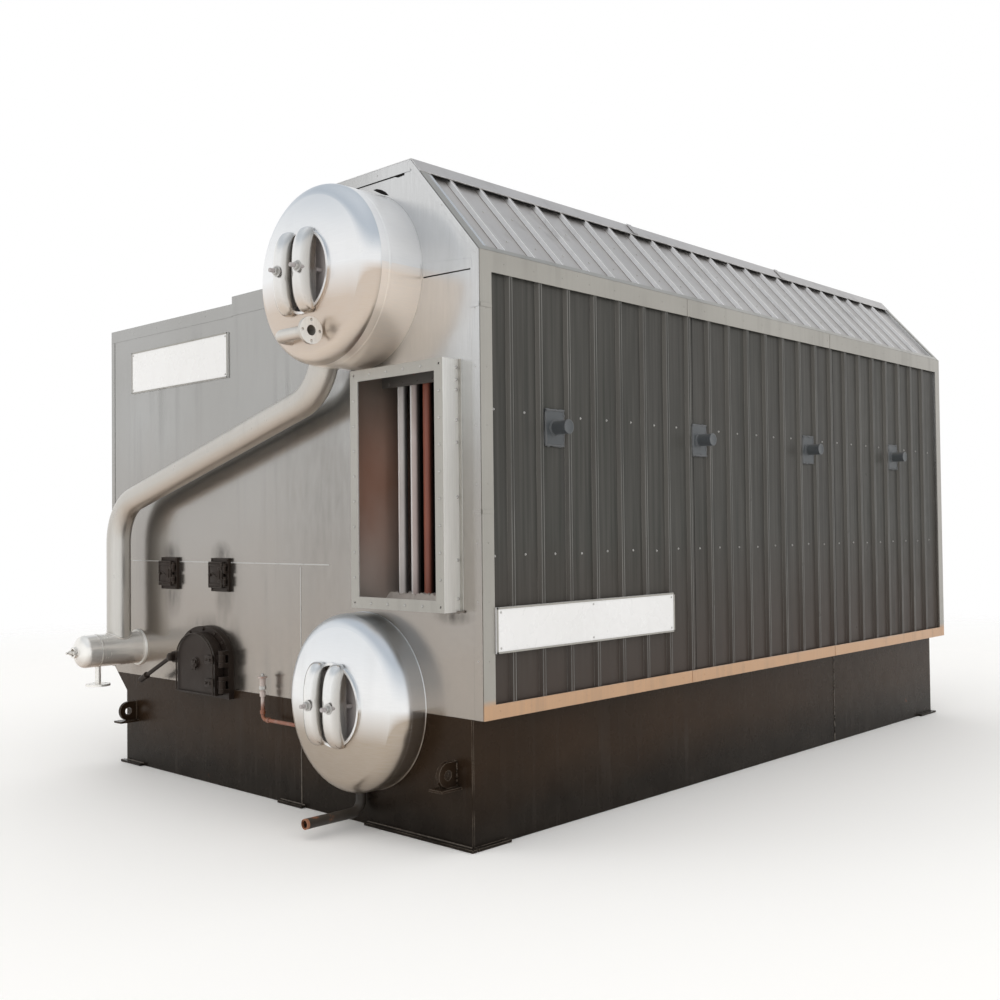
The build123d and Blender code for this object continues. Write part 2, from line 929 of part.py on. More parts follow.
with BuildPart() as header_cap:
    cap_section = dished_section(
        header_x,
        header_rim_y,
        -1,
        header_height,
        header_radius,
        header_cap_depth,
        header_cap_knuckle_radius,
        header_wall_thickness,
    )
    revolve(cap_section, axis=level_axis(header_x, header_height))
    with BuildSketch(facing_front(header_tip_y - hand_hole_proud_length)):
        with Locations((header_x, header_height)):
            Circle(hand_hole_radius)
            Circle(hand_hole_radius - hand_hole_rim_thickness, mode=Mode.SUBTRACT)
    extrude(amount=-(hand_hole_proud_length + header_wall_thickness))
    with BuildSketch(facing_front(front_y - header_stud_end_length)):
        with Locations((header_x, header_height)):
            Circle(hand_stud_radius)
    extrude(amount=-(hand_stud_length + header_wall_thickness))
finish(header_cap.part, "header_cap")

with BuildPart() as drain:
    drain_y = front_y - drain_reach_length
    with BuildSketch(Plane.XY.offset(drain_face_height)):
        with Locations((header_x, drain_y)):
            Circle(drain_flange_radius)
    extrude(amount=drain_flange_thickness)
    with BuildSketch(Plane.XY.offset(drain_face_height)):
        with Locations((header_x, drain_y)):
            Circle(drain_pipe_radius)
    extrude(amount=header_height - drain_face_height)
    with BuildSketch(Plane.XY.offset(drain_face_height)):
        with Locations((header_x, drain_y)):
            Circle(drain_bore_radius)
    extrude(amount=header_height - drain_face_height, mode=Mode.SUBTRACT)
    with BuildSketch(Plane.XY.offset(drain_face_height)):
        with Locations((header_x, drain_y)):
            with PolarLocations(drain_bolt_circle_diameter / 2, flange_bolt_count):
                Circle(drain_bolt_radius)
    extrude(amount=drain_flange_thickness, mode=Mode.SUBTRACT)
    with BuildSketch(facing_front(header_rim_y)):
        with Locations((header_x, header_height)):
            Circle(header_radius + round_gap)
    extrude(amount=-header_reach_length, mode=Mode.SUBTRACT)
finish(drain.part, "header_drain")

# Downcomer
with BuildPart() as downcomer:
    pipe_plane = facing_front(front_y - downcomer_reach_length)
    with BuildLine(pipe_plane) as pipe_path:
        FilletPolyline(
            (header_x, header_height),
            (header_x, knee_height),
            (drum_x - shoulder_back_width, shoulder_height),
            (drum_x, upper_drum_height),
            radius=downcomer_bend_radius,
        )
    with BuildSketch(Plane.XY.offset(header_height)):
        with Locations((header_x, front_y - downcomer_reach_length)):
            Circle(downcomer_radius)
            Circle(downcomer_radius - downcomer_wall_thickness, mode=Mode.SUBTRACT)
    sweep(path=pipe_path.wires()[0])
    with BuildSketch(facing_front(front_y - upper_drum_reach_length)):
        with Locations((header_x, header_height)):
            Circle(header_radius + round_gap)
        with Locations((drum_x, upper_drum_height)):
            Circle(drum_radius + round_gap)
    extrude(amount=-upper_drum_reach_length, mode=Mode.SUBTRACT)
finish(downcomer.part, "downcomer")

# Elbow nozzle on the upper drum end
with BuildPart() as nozzle:
    offset, crown = crown_centre(head_depth, drum_radius, head_knuckle_radius)
    nozzle_y = front_y - nozzle_reach_length
    rim_y = front_y - upper_drum_reach_length
    with BuildLine(Plane.XY.offset(nozzle_height)) as nozzle_path:
        FilletPolyline(
            (nozzle_x, rim_y),
            (nozzle_x, nozzle_y),
            (nozzle_flange_x, nozzle_y),
            radius=nozzle_bend_radius,
        )
    with BuildSketch(facing_front(rim_y)):
        with Locations((nozzle_x, nozzle_height)):
            Circle(nozzle_pipe_radius)
            Circle(nozzle_bore_radius, mode=Mode.SUBTRACT)
    sweep(path=nozzle_path.wires()[0])
    with BuildSketch(facing_side(nozzle_flange_x - nozzle_flange_thickness)):
        with Locations((nozzle_y, nozzle_height)):
            Circle(nozzle_flange_radius)
            Circle(nozzle_bore_radius, mode=Mode.SUBTRACT)
            with PolarLocations(nozzle_bolt_circle_diameter / 2, flange_bolt_count):
                Circle(nozzle_bolt_radius, mode=Mode.SUBTRACT)
    extrude(amount=nozzle_flange_thickness)
    with Locations((drum_x, rim_y - offset, upper_drum_height)):
        Sphere(crown + round_gap, mode=Mode.SUBTRACT)
finish(nozzle.part, "head_nozzle")

# Flue outlet
with BuildPart() as flue:
    with BuildSketch(facing_front(front_y)):
        with Locations((flue_mid_x, flue_mid_height)):
            Rectangle(flue_width, flue_height)
            Rectangle(duct_width, duct_height, mode=Mode.SUBTRACT)
    extrude(amount=flue_reach_length)
    with BuildSketch(facing_front(front_y - flue_reach_length + flange_thickness)):
        with Locations((flue_mid_x, flue_mid_height)):
            Rectangle(flue_width, flue_height)
            Rectangle(flue_in_width, flue_in_height, mode=Mode.SUBTRACT)
            with GridLocations(
                flue_width - 2 * flue_bolt_inset_width, flue_height - 2 * flue_bolt_inset_width, 2, 2
            ):
                Circle(flue_bolt_radius, mode=Mode.SUBTRACT)
    extrude(amount=flange_thickness)
finish(flue.part, "flue_collar")

# Convection tubes between the drums, and the plate beside them
with BuildPart() as tubes:
    for row in range(tubes_deep):
        for place in range(tubes_across):
            x = flue_in_left_x + tube_inset_width + place * tube_pitch_x
            y = front_y + tube_first_depth + row * tube_pitch_y
            with BuildSketch(Plane.XY.offset(lower_drum_height)):
                with Locations((x, y)):
                    Circle(tube_radius)
            extrude(amount=upper_drum_height - lower_drum_height)
    cut_drums(front_y, casing_length)
finish(tubes.part, "bank_tubes")

with BuildPart() as baffle:
    box_between(
        (duct_left_x - baffle_thickness, inner_front_y, lower_drum_height),
        (duct_left_x, inner_front_y + baffle_depth, upper_drum_height),
    )
    cut_drums(front_y, casing_length)
finish(baffle.part, "gas_baffle")

# Fire door
fire_face_y = front_y - fire_frame_depth
leaf_back_y = fire_face_y - leaf_gap
leaf_front_y = leaf_back_y - leaf_thickness
leaf_mid_y = (leaf_back_y + leaf_front_y) / 2
fire_hinge_x = leaf_right_x + hinge_out_width
fire_hinge_heights = [leaf_bottom_height + share * leaf_height for share in hinge_shares]

with BuildPart() as fire_frame:
    with BuildSketch(facing_front(front_y)):
        add(arch(fire_x, fire_bottom_height, fire_width, fire_height, fire_arch_height))
    extrude(amount=fire_frame_depth)
    with BuildSketch(facing_front(front_y)):
        add(throat_outline)
    extrude(amount=fire_frame_depth, mode=Mode.SUBTRACT)
    hinge_ears(
        fire_hinge_x,
        leaf_mid_y,
        fire_face_y,
        fire_hinge_heights,
        hinge_eye_height,
        hinge_ear_height,
        hinge_eye_radius,
        hinge_pin_radius,
    )
finish(fire_frame.part, "fire_door_frame")

lever_ear_front_y = leaf_mid_y - lever_ear_thickness / 2
lever_hub_back_y = lever_ear_front_y - hinge_gap
lever_hub_front_y = lever_hub_back_y - lever_hub_thickness

with BuildPart() as fire_leaf:
    with BuildSketch(facing_front(leaf_back_y)):
        add(arch(leaf_x, leaf_bottom_height, leaf_width, leaf_height, leaf_arch_height))
    extrude(amount=leaf_thickness)
    with BuildSketch(facing_front(leaf_front_y)):
        with Locations((leaf_x, leaf_bottom_height + leaf_height / 2)):
            Circle(leaf_boss_radius)
    extrude(amount=leaf_boss_proud_length)
    hinge_eyes(
        fire_hinge_x,
        leaf_mid_y,
        leaf_right_x - hinge_root_width,
        hinge_eye_radius,
        fire_hinge_heights,
        hinge_eye_height,
        hinge_eye_radius,
        hinge_pin_radius,
    )
    box_between(
        (lever_x, lever_ear_front_y, lever_height - lever_ear_height / 2),
        (
            leaf_left_x + leaf_width * lever_root_share,
            lever_ear_front_y + lever_ear_thickness,
            lever_height + lever_ear_height / 2,
        ),
    )
    with BuildSketch(facing_front(lever_ear_front_y + lever_ear_thickness)):
        with Locations((lever_x, lever_height)):
            Circle(lever_ear_height / 2)
    extrude(amount=lever_ear_thickness)
    with BuildSketch(facing_front(lever_ear_front_y)):
        with Locations((lever_x, lever_height)):
            Circle(lever_pin_radius)
    extrude(amount=lever_hub_thickness + hinge_gap)
finish(fire_leaf.part, "fire_door")

with BuildPart() as latch:
    fall = math.radians(lever_fall_degrees)
    arm_way = (-math.cos(fall), 0, -math.sin(fall))
    hub_mid_y = (lever_hub_back_y + lever_hub_front_y) / 2
    with BuildSketch(Plane(origin=(lever_x, hub_mid_y, lever_height), z_dir=arm_way)):
        Circle(lever_arm_radius)
    extrude(amount=lever_arm_length)
    with BuildSketch(
        Plane(
            origin=(
                lever_x + arm_way[0] * lever_arm_length,
                hub_mid_y,
                lever_height + arm_way[2] * lever_arm_length,
            ),
            z_dir=arm_way,
        )
    ):
        Circle(lever_grip_radius)
    extrude(amount=-lever_grip_length)
    with BuildSketch(facing_front(lever_hub_back_y)):
        with Locations((lever_x, lever_height)):
            Circle(lever_boss_radius)
    extrude(amount=lever_hub_thickness)
    with BuildSketch(facing_front(lever_hub_back_y)):
        with Locations((lever_x, lever_height)):
            Circle(lever_pin_radius + round_gap)
    extrude(amount=lever_hub_thickness, mode=Mode.SUBTRACT)
finish(latch.part, "fire_door_latch")

# Peep doors
peep_face_y = front_y - peep_frame_depth
peep_back_y = peep_face_y - peep_leaf_gap
peep_mid_y = peep_back_y - peep_leaf_thickness / 2

for name, middle in zip(("a", "b"), peep_xs):
    leaf_middle = middle - peep_leaf_shift_width
    leaf_edge = leaf_middle + peep_leaf_width / 2
    pin_x = leaf_edge + peep_hinge_out_width
    low = peep_height - peep_leaf_height / 2
    pin_heights = [low + share * peep_leaf_height for share in peep_hinge_shares]
    with BuildPart() as peep_frame:
        with BuildSketch(facing_front(front_y)):
            with Locations((middle, peep_height)):
                Rectangle(peep_frame_width, peep_frame_height)
                Rectangle(peep_hole_width, peep_hole_height, mode=Mode.SUBTRACT)
        extrude(amount=peep_frame_depth)
        hinge_ears(
            pin_x,
            peep_mid_y,
            peep_face_y,
            pin_heights,
            peep_eye_height,
            peep_ear_height,
            peep_eye_radius,
            peep_pin_radius,
        )
    finish(peep_frame.part, "peep_frame_" + name)
    with BuildPart() as peep_leaf:
        with BuildSketch(facing_front(peep_back_y)):
            with Locations((leaf_middle, peep_height)):
                Rectangle(peep_leaf_width, peep_leaf_height)
        extrude(amount=peep_leaf_thickness)
        with BuildSketch(facing_front(peep_back_y - peep_leaf_thickness)):
            with Locations((leaf_middle - peep_leaf_width / 2 + peep_knob_inset_width, peep_height)):
                Circle(peep_knob_radius)
        extrude(amount=peep_knob_length)
        hinge_eyes(
            pin_x,
            peep_mid_y,
            leaf_edge - peep_hinge_root_width,
            peep_leaf_thickness,
            pin_heights,
            peep_eye_height,
            peep_eye_radius,
            peep_pin_radius,
        )
    finish(peep_leaf.part, "peep_door_" + name)

# Small bore pipes
with BuildPart() as sample:
    sample_y = front_y - sample_reach_length
    with BuildLine(facing_front(sample_y)) as sample_path:
        FilletPolyline(
            (drum_x - drum_radius / 2, sample_height),
            (sample_left_x, sample_height),
            (sample_left_x, sample_top_height),
            radius=sample_bend_radius,
        )
    with BuildSketch(facing_side(drum_x - drum_radius / 2)):
        with Locations((sample_y, sample_height)):
            Circle(sample_radius)
    sweep(path=sample_path.wires()[0])
    with BuildSketch(Plane.XY.offset(sample_top_height)):
        with Locations((sample_left_x, sample_y)):
            Circle(valve_radius)
    extrude(amount=valve_height)
    with BuildSketch(Plane.XY.offset(sample_top_height + valve_height)):
        with Locations((sample_left_x, sample_y)):
            Circle(valve_wheel_radius)
    extrude(amount=valve_wheel_thickness)
    cut_drums(front_y - lower_drum_reach_length, lower_drum_reach_length)
finish(sample.part, "sample_pipe")

with BuildPart() as blowdown:
    with BuildLine(facing_side(drum_x)) as blowdown_path:
        FilletPolyline(
            (front_y - blowdown_back_length, lower_drum_height),
            (front_y - blowdown_back_length, blowdown_height),
            (front_y - blowdown_end_length, blowdown_height),
            radius=blowdown_bend_radius,
        )
    with BuildSketch(Plane.XY.offset(lower_drum_height)):
        with Locations((drum_x, front_y - blowdown_back_length)):
            Circle(blowdown_radius)
            Circle(blowdown_radius - blowdown_wall_thickness, mode=Mode.SUBTRACT)
    sweep(path=blowdown_path.wires()[0])
    cut_drums(front_y - lower_drum_reach_length, lower_drum_reach_length)
finish(blowdown.part, "blowdown_pipe")


# Closed stub ports with their plates, in the pans between the ribs of both side walls
port_pans = math.floor(casing_length / (port_count * rib_pitch))
port_first = math.floor(port_pans / 2) - half_share
port_places = [
    (front_y + rib_pitch * (port_first + port_pans * place), port_height) for place in range(port_count)
]

with BuildPart() as side_ports:
    for side in (1, -1):
        with BuildSketch(facing_side(side * pan_x)):
            with Locations(*port_places):
                Rectangle(port_plate_length, port_plate_height)
        extrude(amount=side * port_plate_thickness)
        with BuildSketch(facing_side(side * pan_x)):
            with Locations(*port_places):
                Circle(port_radius)
        extrude(amount=side * port_reach_length)
finish(side_ports.part, "side_ports")

# Bare nameplate and sign panel
with BuildPart() as nameplate:
    box_between(
        (name_inset_width - half_width, front_y - name_thickness, name_top_height - name_height),
        (step_x - name_step_gap, front_y, name_top_height),
    )
finish(nameplate.part, "nameplate")

sign_first_y = front_y + sign_first_length

with BuildPart() as sign:
    box_between(
        (half_width, sign_first_y, sign_bottom_height),
        (half_width + sign_thickness, sign_first_y + sign_length, sign_bottom_height + sign_height),
    )
finish(sign.part, "side_sign")
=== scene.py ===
"""Looks of a packaged water-tube boiler: finishes, fastenings, seams, trims, studio light and camera."""

import json
import math
import random

import bmesh
import bpy
from mathutils import Matrix, Vector


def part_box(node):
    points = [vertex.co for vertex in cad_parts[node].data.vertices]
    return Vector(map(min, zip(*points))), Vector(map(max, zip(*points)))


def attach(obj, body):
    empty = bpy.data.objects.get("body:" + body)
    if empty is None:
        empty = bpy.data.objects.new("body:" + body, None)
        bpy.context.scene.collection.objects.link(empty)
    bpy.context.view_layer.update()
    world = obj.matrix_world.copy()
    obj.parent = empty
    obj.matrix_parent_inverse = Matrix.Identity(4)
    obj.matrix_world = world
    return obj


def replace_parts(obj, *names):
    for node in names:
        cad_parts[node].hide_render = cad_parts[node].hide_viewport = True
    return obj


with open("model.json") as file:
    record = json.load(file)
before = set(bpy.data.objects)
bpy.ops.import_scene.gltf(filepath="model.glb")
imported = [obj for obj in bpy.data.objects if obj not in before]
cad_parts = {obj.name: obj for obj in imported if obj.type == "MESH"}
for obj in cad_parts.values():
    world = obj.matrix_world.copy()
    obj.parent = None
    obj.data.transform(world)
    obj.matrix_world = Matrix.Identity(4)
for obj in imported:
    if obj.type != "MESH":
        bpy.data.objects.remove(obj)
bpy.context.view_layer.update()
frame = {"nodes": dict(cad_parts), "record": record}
nodes = frame["nodes"]
block = "boiler_block"
chance = random.Random(7)

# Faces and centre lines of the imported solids, in metres
wall_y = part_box("end_wall")[0][1]
rear_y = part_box("rear_wall")[1][1]
casing_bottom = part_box("drum_wall")[0][2] + 0.035
half_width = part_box("drum_wall")[1][0]
ridge_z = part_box("drum_wall")[1][2]
eave_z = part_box("side_wall_right")[1][2]
step_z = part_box("low_roof")[1][2]
low_roof_z = step_z - 0.035
low_roof_fall = 0.010
left_foot_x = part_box("drum_wall")[0][0]
step_x = left_foot_x - 0.430
cap_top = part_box("ridge_cap")[1][2]
sample_low_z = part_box("sample_pipe")[0][2]
rib_pitch, rib_height, rib_count = 0.225, 0.020, 24
pan_x = half_width - rib_height
drum_x, drum_radius, upper_z, lower_z = 0.926, 0.470, 2.892, 0.655
header_x, header_z = -1.449, 0.788
downcomer_out = 0.142
fire_x, leaf_x, leaf_low = -0.5915, -0.572534, 0.568
lever_x, lever_z = -0.849534, 0.772
fire_frame_depth, peep_frame_depth = 0.038, 0.020
base_seam_x = 0.36
lug_places = (-1.486, 1.600)
port_z = 2.084
sheet_joints = (1.80, 3.60)
trim_joints = (casing_bottom + 1.0, casing_bottom + 2.01)
roof_lap_pitch = 0.9167
ridge_x = 1.315
left_ridge_x = 2 * drum_x - ridge_x
slope_way = Vector((ridge_x - half_width, 0, ridge_z - eave_z)).normalized()
slope_out = Vector((slope_way.z, 0, -slope_way.x))

# Directions
up, down = (0, 0, 1), (0, 0, -1)
rightward, leftward = (1, 0, 0), (-1, 0, 0)
frontward, rearward = (0, -1, 0), (0, 1, 0)


def at(x, out, z):
    """A point in front of the end wall."""
    return Vector((x, wall_y - out, z))


def along(distance):
    """The Y of a place this far behind the end wall."""
    return wall_y + distance


port_rows = [along(0.5625 + 1.35 * place) for place in range(4)]


# Node helpers
def feed(tree, node, inputs):
    """Set inputs of a node, by name or index, to values or sockets."""
    for key, value in inputs.items():
        if isinstance(value, bpy.types.NodeSocket):
            tree.links.new(value, node.inputs[key])
        else:
            node.inputs[key].default_value = value


def put(tree, kind, inputs=None, **settings):
    """Add a shader node with its settings and inputs."""
    node = tree.nodes.new("ShaderNode" + kind)
    for key, value in settings.items():
        setattr(node, key, value)
    feed(tree, node, inputs or {})
    return node


def calc(tree, operation, first, second=0.0, clamp=False):
    """One arithmetic node."""
    return put(tree, "Math", {0: first, 1: second}, operation=operation, use_clamp=clamp).outputs[0]


def vector_calc(tree, operation, first, second=(0, 0, 0)):
    """The outputs of one vector node."""
    return put(tree, "VectorMath", {0: first, 1: second}, operation=operation).outputs


def spread(tree, value, low, high, to_low=0.0, to_high=1.0):
    """Stretch a range of a value to another range, clamped."""
    names = {"Value": value, "From Min": low, "From Max": high, "To Min": to_low, "To Max": to_high}
    return put(tree, "MapRange", names, clamp=True).outputs[0]


def blend(tree, share, first, second):
    """Mix two colours."""
    return put(tree, "Mix", {0: share, 6: first, 7: second}, data_type="RGBA").outputs[2]


def here(tree):
    """The place on the object."""
    return put(tree, "TexCoord").outputs["Object"]


def surface(tree, what):
    """The Normal or Position of the surface."""
    return put(tree, "NewGeometry").outputs[what]


def parts(tree, vector):
    """The X, Y and Z of a vector."""
    return put(tree, "SeparateXYZ", {0: vector}).outputs


def noise(tree, place, scale, detail, stretch=None, **more):
    """The value of a noise texture, its place stretched if asked."""
    if stretch is not None:
        place = put(tree, "Mapping", {"Vector": place, "Scale": stretch}).outputs[0]
    return put(tree, "TexNoise", {"Vector": place, "Scale": scale, "Detail": detail, **more}).outputs["Fac"]


def use(tree, shared, **inputs):
    """Place a shared group in a material, set its inputs by name and return its outputs."""
    return put(tree, "Group", inputs, node_tree=shared).outputs


# Shared effects
def effect(name, inputs, outputs):
    """Make a shader node group with named sockets of a function that returns what its outputs get."""
    tree = bpy.data.node_groups.new(name, "ShaderNodeTree")
    for label, value in inputs.items():
        kind = "NodeSocketVector" if isinstance(value, tuple) else "NodeSocketFloat"
        tree.interface.new_socket(name=label, in_out="INPUT", socket_type=kind).default_value = value
    for label, kind in outputs.items():
        tree.interface.new_socket(name=label, in_out="OUTPUT", socket_type=kind)

    def build(body):
        """Fill the group and give it back."""
        given = tree.nodes.new("NodeGroupInput").outputs
        feed(tree, tree.nodes.new("NodeGroupOutput"), body(tree, given))
        return tree

    return build


value_out, mask_out = {"Value": "NodeSocketFloat"}, {"Mask": "NodeSocketFloat"}


@effect("cloudy_tone", {"Scale": 3.0, "Stretch": (1, 1, 1), "Detail": 4.0, "Contrast": 0.5}, value_out)
def clouds(tree, given):
    """Soft clouds of tone that can be stretched into streaks."""
    value = noise(tree, here(tree), given["Scale"], given["Detail"], given["Stretch"])
    half = calc(tree, "MULTIPLY", given["Contrast"], -0.5)
    low, high = calc(tree, "ADD", half, 0.5), calc(tree, "SUBTRACT", 0.5, half)
    return {"Value": spread(tree, value, low, high)}


@effect("facing_way", {"Way": (1, 0, 0), "Start": 0.2, "End": 0.6}, mask_out)
def facing(tree, given):
    """Faces that look along one direction."""
    same = vector_calc(tree, "DOT_PRODUCT", surface(tree, "Normal"), given["Way"])["Value"]
    return {"Mask": spread(tree, same, given["Start"], given["End"])}


@effect("height_tone", {"Low": 0.0, "High": 1.0, "Ragged": 0.2}, value_out)
def height_tone(tree, given):
    """A ragged change of tone from one height to another."""
    place = here(tree)
    drift = calc(tree, "MULTIPLY", calc(tree, "SUBTRACT", noise(tree, place, 2.2, 4.0), 0.5), given["Ragged"])
    height = calc(tree, "ADD", parts(tree, place)["Z"], drift)
    return {"Value": spread(tree, height, given["Low"], given["High"])}


@effect("local_dirt_and_shade", {"Centre": (0, 0, 0), "Size": (0.1, 0.1, 0.1), "Amount": 0.5}, mask_out)
def dirt_and_shade_patch(tree, given):
    """A soft ragged patch round one place, used for dirt and for painted shade."""
    place = here(tree)
    offset = vector_calc(tree, "SUBTRACT", place, given["Centre"])[0]
    length = vector_calc(tree, "LENGTH", vector_calc(tree, "DIVIDE", offset, given["Size"])[0])["Value"]
    ragged = spread(tree, noise(tree, place, 26.0, 6.0, (1.0, 1.0, 0.3)), 0.3, 0.7, 0.35, 1.0)
    mask = calc(tree, "MULTIPLY", spread(tree, length, 1.0, 0.15), ragged)
    return {"Mask": calc(tree, "MULTIPLY", mask, given["Amount"])}


@effect("dirt_runs", {"Scale": 14.0, "Amount": 0.5}, mask_out)
def runs(tree, given):
    """Dirt washed down a wall in narrow runs."""
    place = here(tree)
    lines = spread(tree, noise(tree, place, given["Scale"], 5.0, (1.0, 1.0, 0.05)), 0.52, 0.72)
    patches = spread(tree, noise(tree, place, 1.3, 3.0), 0.42, 0.62)
    both = calc(tree, "MULTIPLY", lines, patches)
    return {"Mask": calc(tree, "MULTIPLY", both, given["Amount"])}


@effect("worn_and_lit_edge_mask", {"Width": 0.004, "Breakup": 30.0}, {**mask_out, "Normal": "NodeSocketVector"})
def edge_marks(tree, given):
    """Edges, broken up by noise, with the softened edge normal: bright or bare worn metal on most finishes, a painted
    highlight where a finish asks for one.
    """
    soft = put(tree, "Bevel", {"Radius": given["Width"]}, samples=4).outputs[0]
    same = vector_calc(tree, "DOT_PRODUCT", soft, surface(tree, "Normal"))["Value"]
    patchy = spread(tree, noise(tree, here(tree), given["Breakup"], 6.0), 0.38, 0.6)
    return {"Mask": calc(tree, "MULTIPLY", spread(tree, same, 0.99, 0.86), patchy), "Normal": soft}


@effect("settled_dust", {"Ground Reach": 0.7, "Amount": 0.5}, mask_out)
def dust(tree, given):
    """Dust that lies on upward faces and gathers near the ground."""
    place = surface(tree, "Position")
    upward = spread(tree, parts(tree, surface(tree, "Normal"))["Z"], 0.25, 0.95)
    low = spread(tree, parts(tree, place)["Z"], given["Ground Reach"], 0.0, 0.0, 0.7)
    ragged = spread(tree, noise(tree, place, 5.0, 8.0), 0.3, 0.7)
    total = calc(tree, "MULTIPLY", calc(tree, "MAXIMUM", upward, low), ragged)
    return {"Mask": calc(tree, "MULTIPLY", total, given["Amount"])}


@effect("sheet_waves", {"Broad": 1.0, "Dings": 0.15, "Grain": 0.02}, {"Height": "NodeSocketFloat"})
def waves(tree, given):
    """Shallow waves and dings of thin sheet, with a fine grain on top."""
    place = here(tree)
    total = calc(tree, "MULTIPLY", noise(tree, place, 1.6, 1.0), given["Broad"])
    for label, scale in (("Dings", 9.0), ("Grain", 260.0)):
        total = calc(tree, "ADD", total, calc(tree, "MULTIPLY", noise(tree, place, scale, 2.0), given[label]))
    return {"Height": total}


@effect("rust_patches", {"Scale": 8.0, "Spread": 0.3}, {**mask_out, "Tone": "NodeSocketColor"})
def rust(tree, given):
    """Patches of rust with a speckled rim."""
    place = here(tree)
    patch = noise(tree, place, given["Scale"], 8.0, Roughness=0.65)
    edge = calc(tree, "SUBTRACT", 0.72, calc(tree, "MULTIPLY", given["Spread"], 0.5))
    speck = spread(tree, noise(tree, place, 90.0, 4.0), 0.35, 0.65)
    tone = blend(tree, speck, (0.09, 0.03, 0.012, 1), (0.34, 0.115, 0.045, 1))
    return {"Mask": spread(tree, patch, edge, calc(tree, "ADD", edge, 0.08)), "Tone": tone}


# Finishes
def rgb(*channels):
    """A colour with full opacity."""
    return (*channels, 1.0)


def times(colour, share, more=0.0):
    """A lighter or darker tone of a colour."""
    return rgb(*(min(1, share * channel + more) for channel in colour[:3]))


def start(name):
    """A new material: its node tree and its Principled shader."""
    material = bpy.data.materials.new(name)
    material.use_nodes = True
    return material, material.node_tree, material.node_tree.nodes["Principled BSDF"]


def shape_normal(tree, shader, worn, lift, **wavy):
    """Feed waves as a bump over the softened edge normal to the shader."""
    height = use(tree, waves, **wavy)[0]
    bump = put(tree, "Bump", {"Height": height, "Normal": worn["Normal"], "Strength": 1.0, "Distance": lift})
    feed(tree, shader, {"Normal": bump.outputs[0]})


def paint_light_by_facing(tree, colour, faces):
    """Paint light and shade onto faces by the way they look; each row is (way, shade) or (way, shade, start, end)."""
    for way, shade, *span in faces:
        begin, full = span or (0.2, 0.6)
        colour = blend(tree, use(tree, facing, Way=way, Start=begin, End=full)[0], colour, shade)
    return colour


def dulled(tree, gloss, dusty, washed, share):
    """Roughness that dust and dirt runs raise."""
    dirt = calc(tree, "MULTIPLY", calc(tree, "ADD", dusty, washed), share)
    return calc(tree, "ADD", gloss, dirt, clamp=True)


dust_colour = rgb(0.42, 0.37, 0.31)


def sheet_metal(
    name, pale, deep, rough, lift, streak, dust_amount, runs_amount, edge=0.003, dings=0.15,
    low_tone=None, dirt_and_shade_spots=(), metal=0.75, painted_edge_highlight=None, faces=(), corner=None,
):
    """Bare or aluminium-coated sheet: cloudy tone, rolled streaks, dirt runs, dust, worn bright edges and shallow
    waves; where asked, painted light and shade by facing, painted light towards the upper right, painted shade
    patches with the dirt, and a painted highlight along the edges.
    """
    material, tree, shader = start(name)
    lines = use(tree, clouds, Scale=22.0, Stretch=streak, Detail=3.0, Contrast=0.7)[0]
    worn = use(tree, edge_marks, Width=edge, Breakup=25.0)
    dusty = use(tree, dust, Amount=dust_amount)[0]
    washed = use(tree, runs, Scale=10.0, Amount=runs_amount)[0]
    colour = blend(tree, use(tree, clouds, Scale=0.9, Detail=3.0, Contrast=0.55)[0], deep, pale)
    if low_tone:
        low, high, ragged, shade = low_tone
        colour = blend(tree, use(tree, height_tone, Low=low, High=high, Ragged=ragged)[0], shade, colour)
    # painted light: the sheet is lightened towards the upper right over the given spans of x and z
    if corner:
        left, right, low, high, shade = corner
        rise = use(tree, height_tone, Low=low, High=high, Ragged=0.3)[0]
        share = calc(tree, "MULTIPLY", spread(tree, parts(tree, here(tree))["X"], left, right), rise)
        colour = blend(tree, share, colour, shade)
    colour = paint_light_by_facing(tree, colour, faces)
    colour = blend(tree, calc(tree, "MULTIPLY", lines, 0.22), colour, times(deep, 0.82))
    for x, z, size, amount, shade in dirt_and_shade_spots:
        mark = use(tree, dirt_and_shade_patch, Centre=(x, wall_y, z), Size=size, Amount=amount)[0]
        colour = blend(tree, mark, colour, shade)
    colour = blend(tree, washed, colour, times(deep, 0.55))
    # edge colour: bright worn metal; where a highlight colour is given, a painted highlight instead
    worn_and_lit_share = calc(tree, "MULTIPLY", worn["Mask"], 0.9 if painted_edge_highlight else 0.45)
    colour = blend(tree, worn_and_lit_share, colour, painted_edge_highlight or times(pale, 1.2))
    fine = use(tree, clouds, Scale=7.0, Detail=6.0, Contrast=0.6)[0]
    gloss = spread(tree, calc(tree, "MULTIPLY", calc(tree, "ADD", fine, lines), 0.5), 0.0, 1.0, *rough)
    flake = calc(tree, "ADD", calc(tree, "MULTIPLY", fine, 0.1), metal - 0.05)
    feed(tree, shader, {
        "Base Color": blend(tree, dusty, colour, dust_colour),
        "Roughness": dulled(tree, gloss, dusty, washed, 0.3),
        "Metallic": calc(tree, "MULTIPLY", flake, calc(tree, "SUBTRACT", 1.0, dusty)),
    })
    shape_normal(tree, shader, worn, lift, Broad=1.0, Dings=dings, Grain=0.012)
    return material


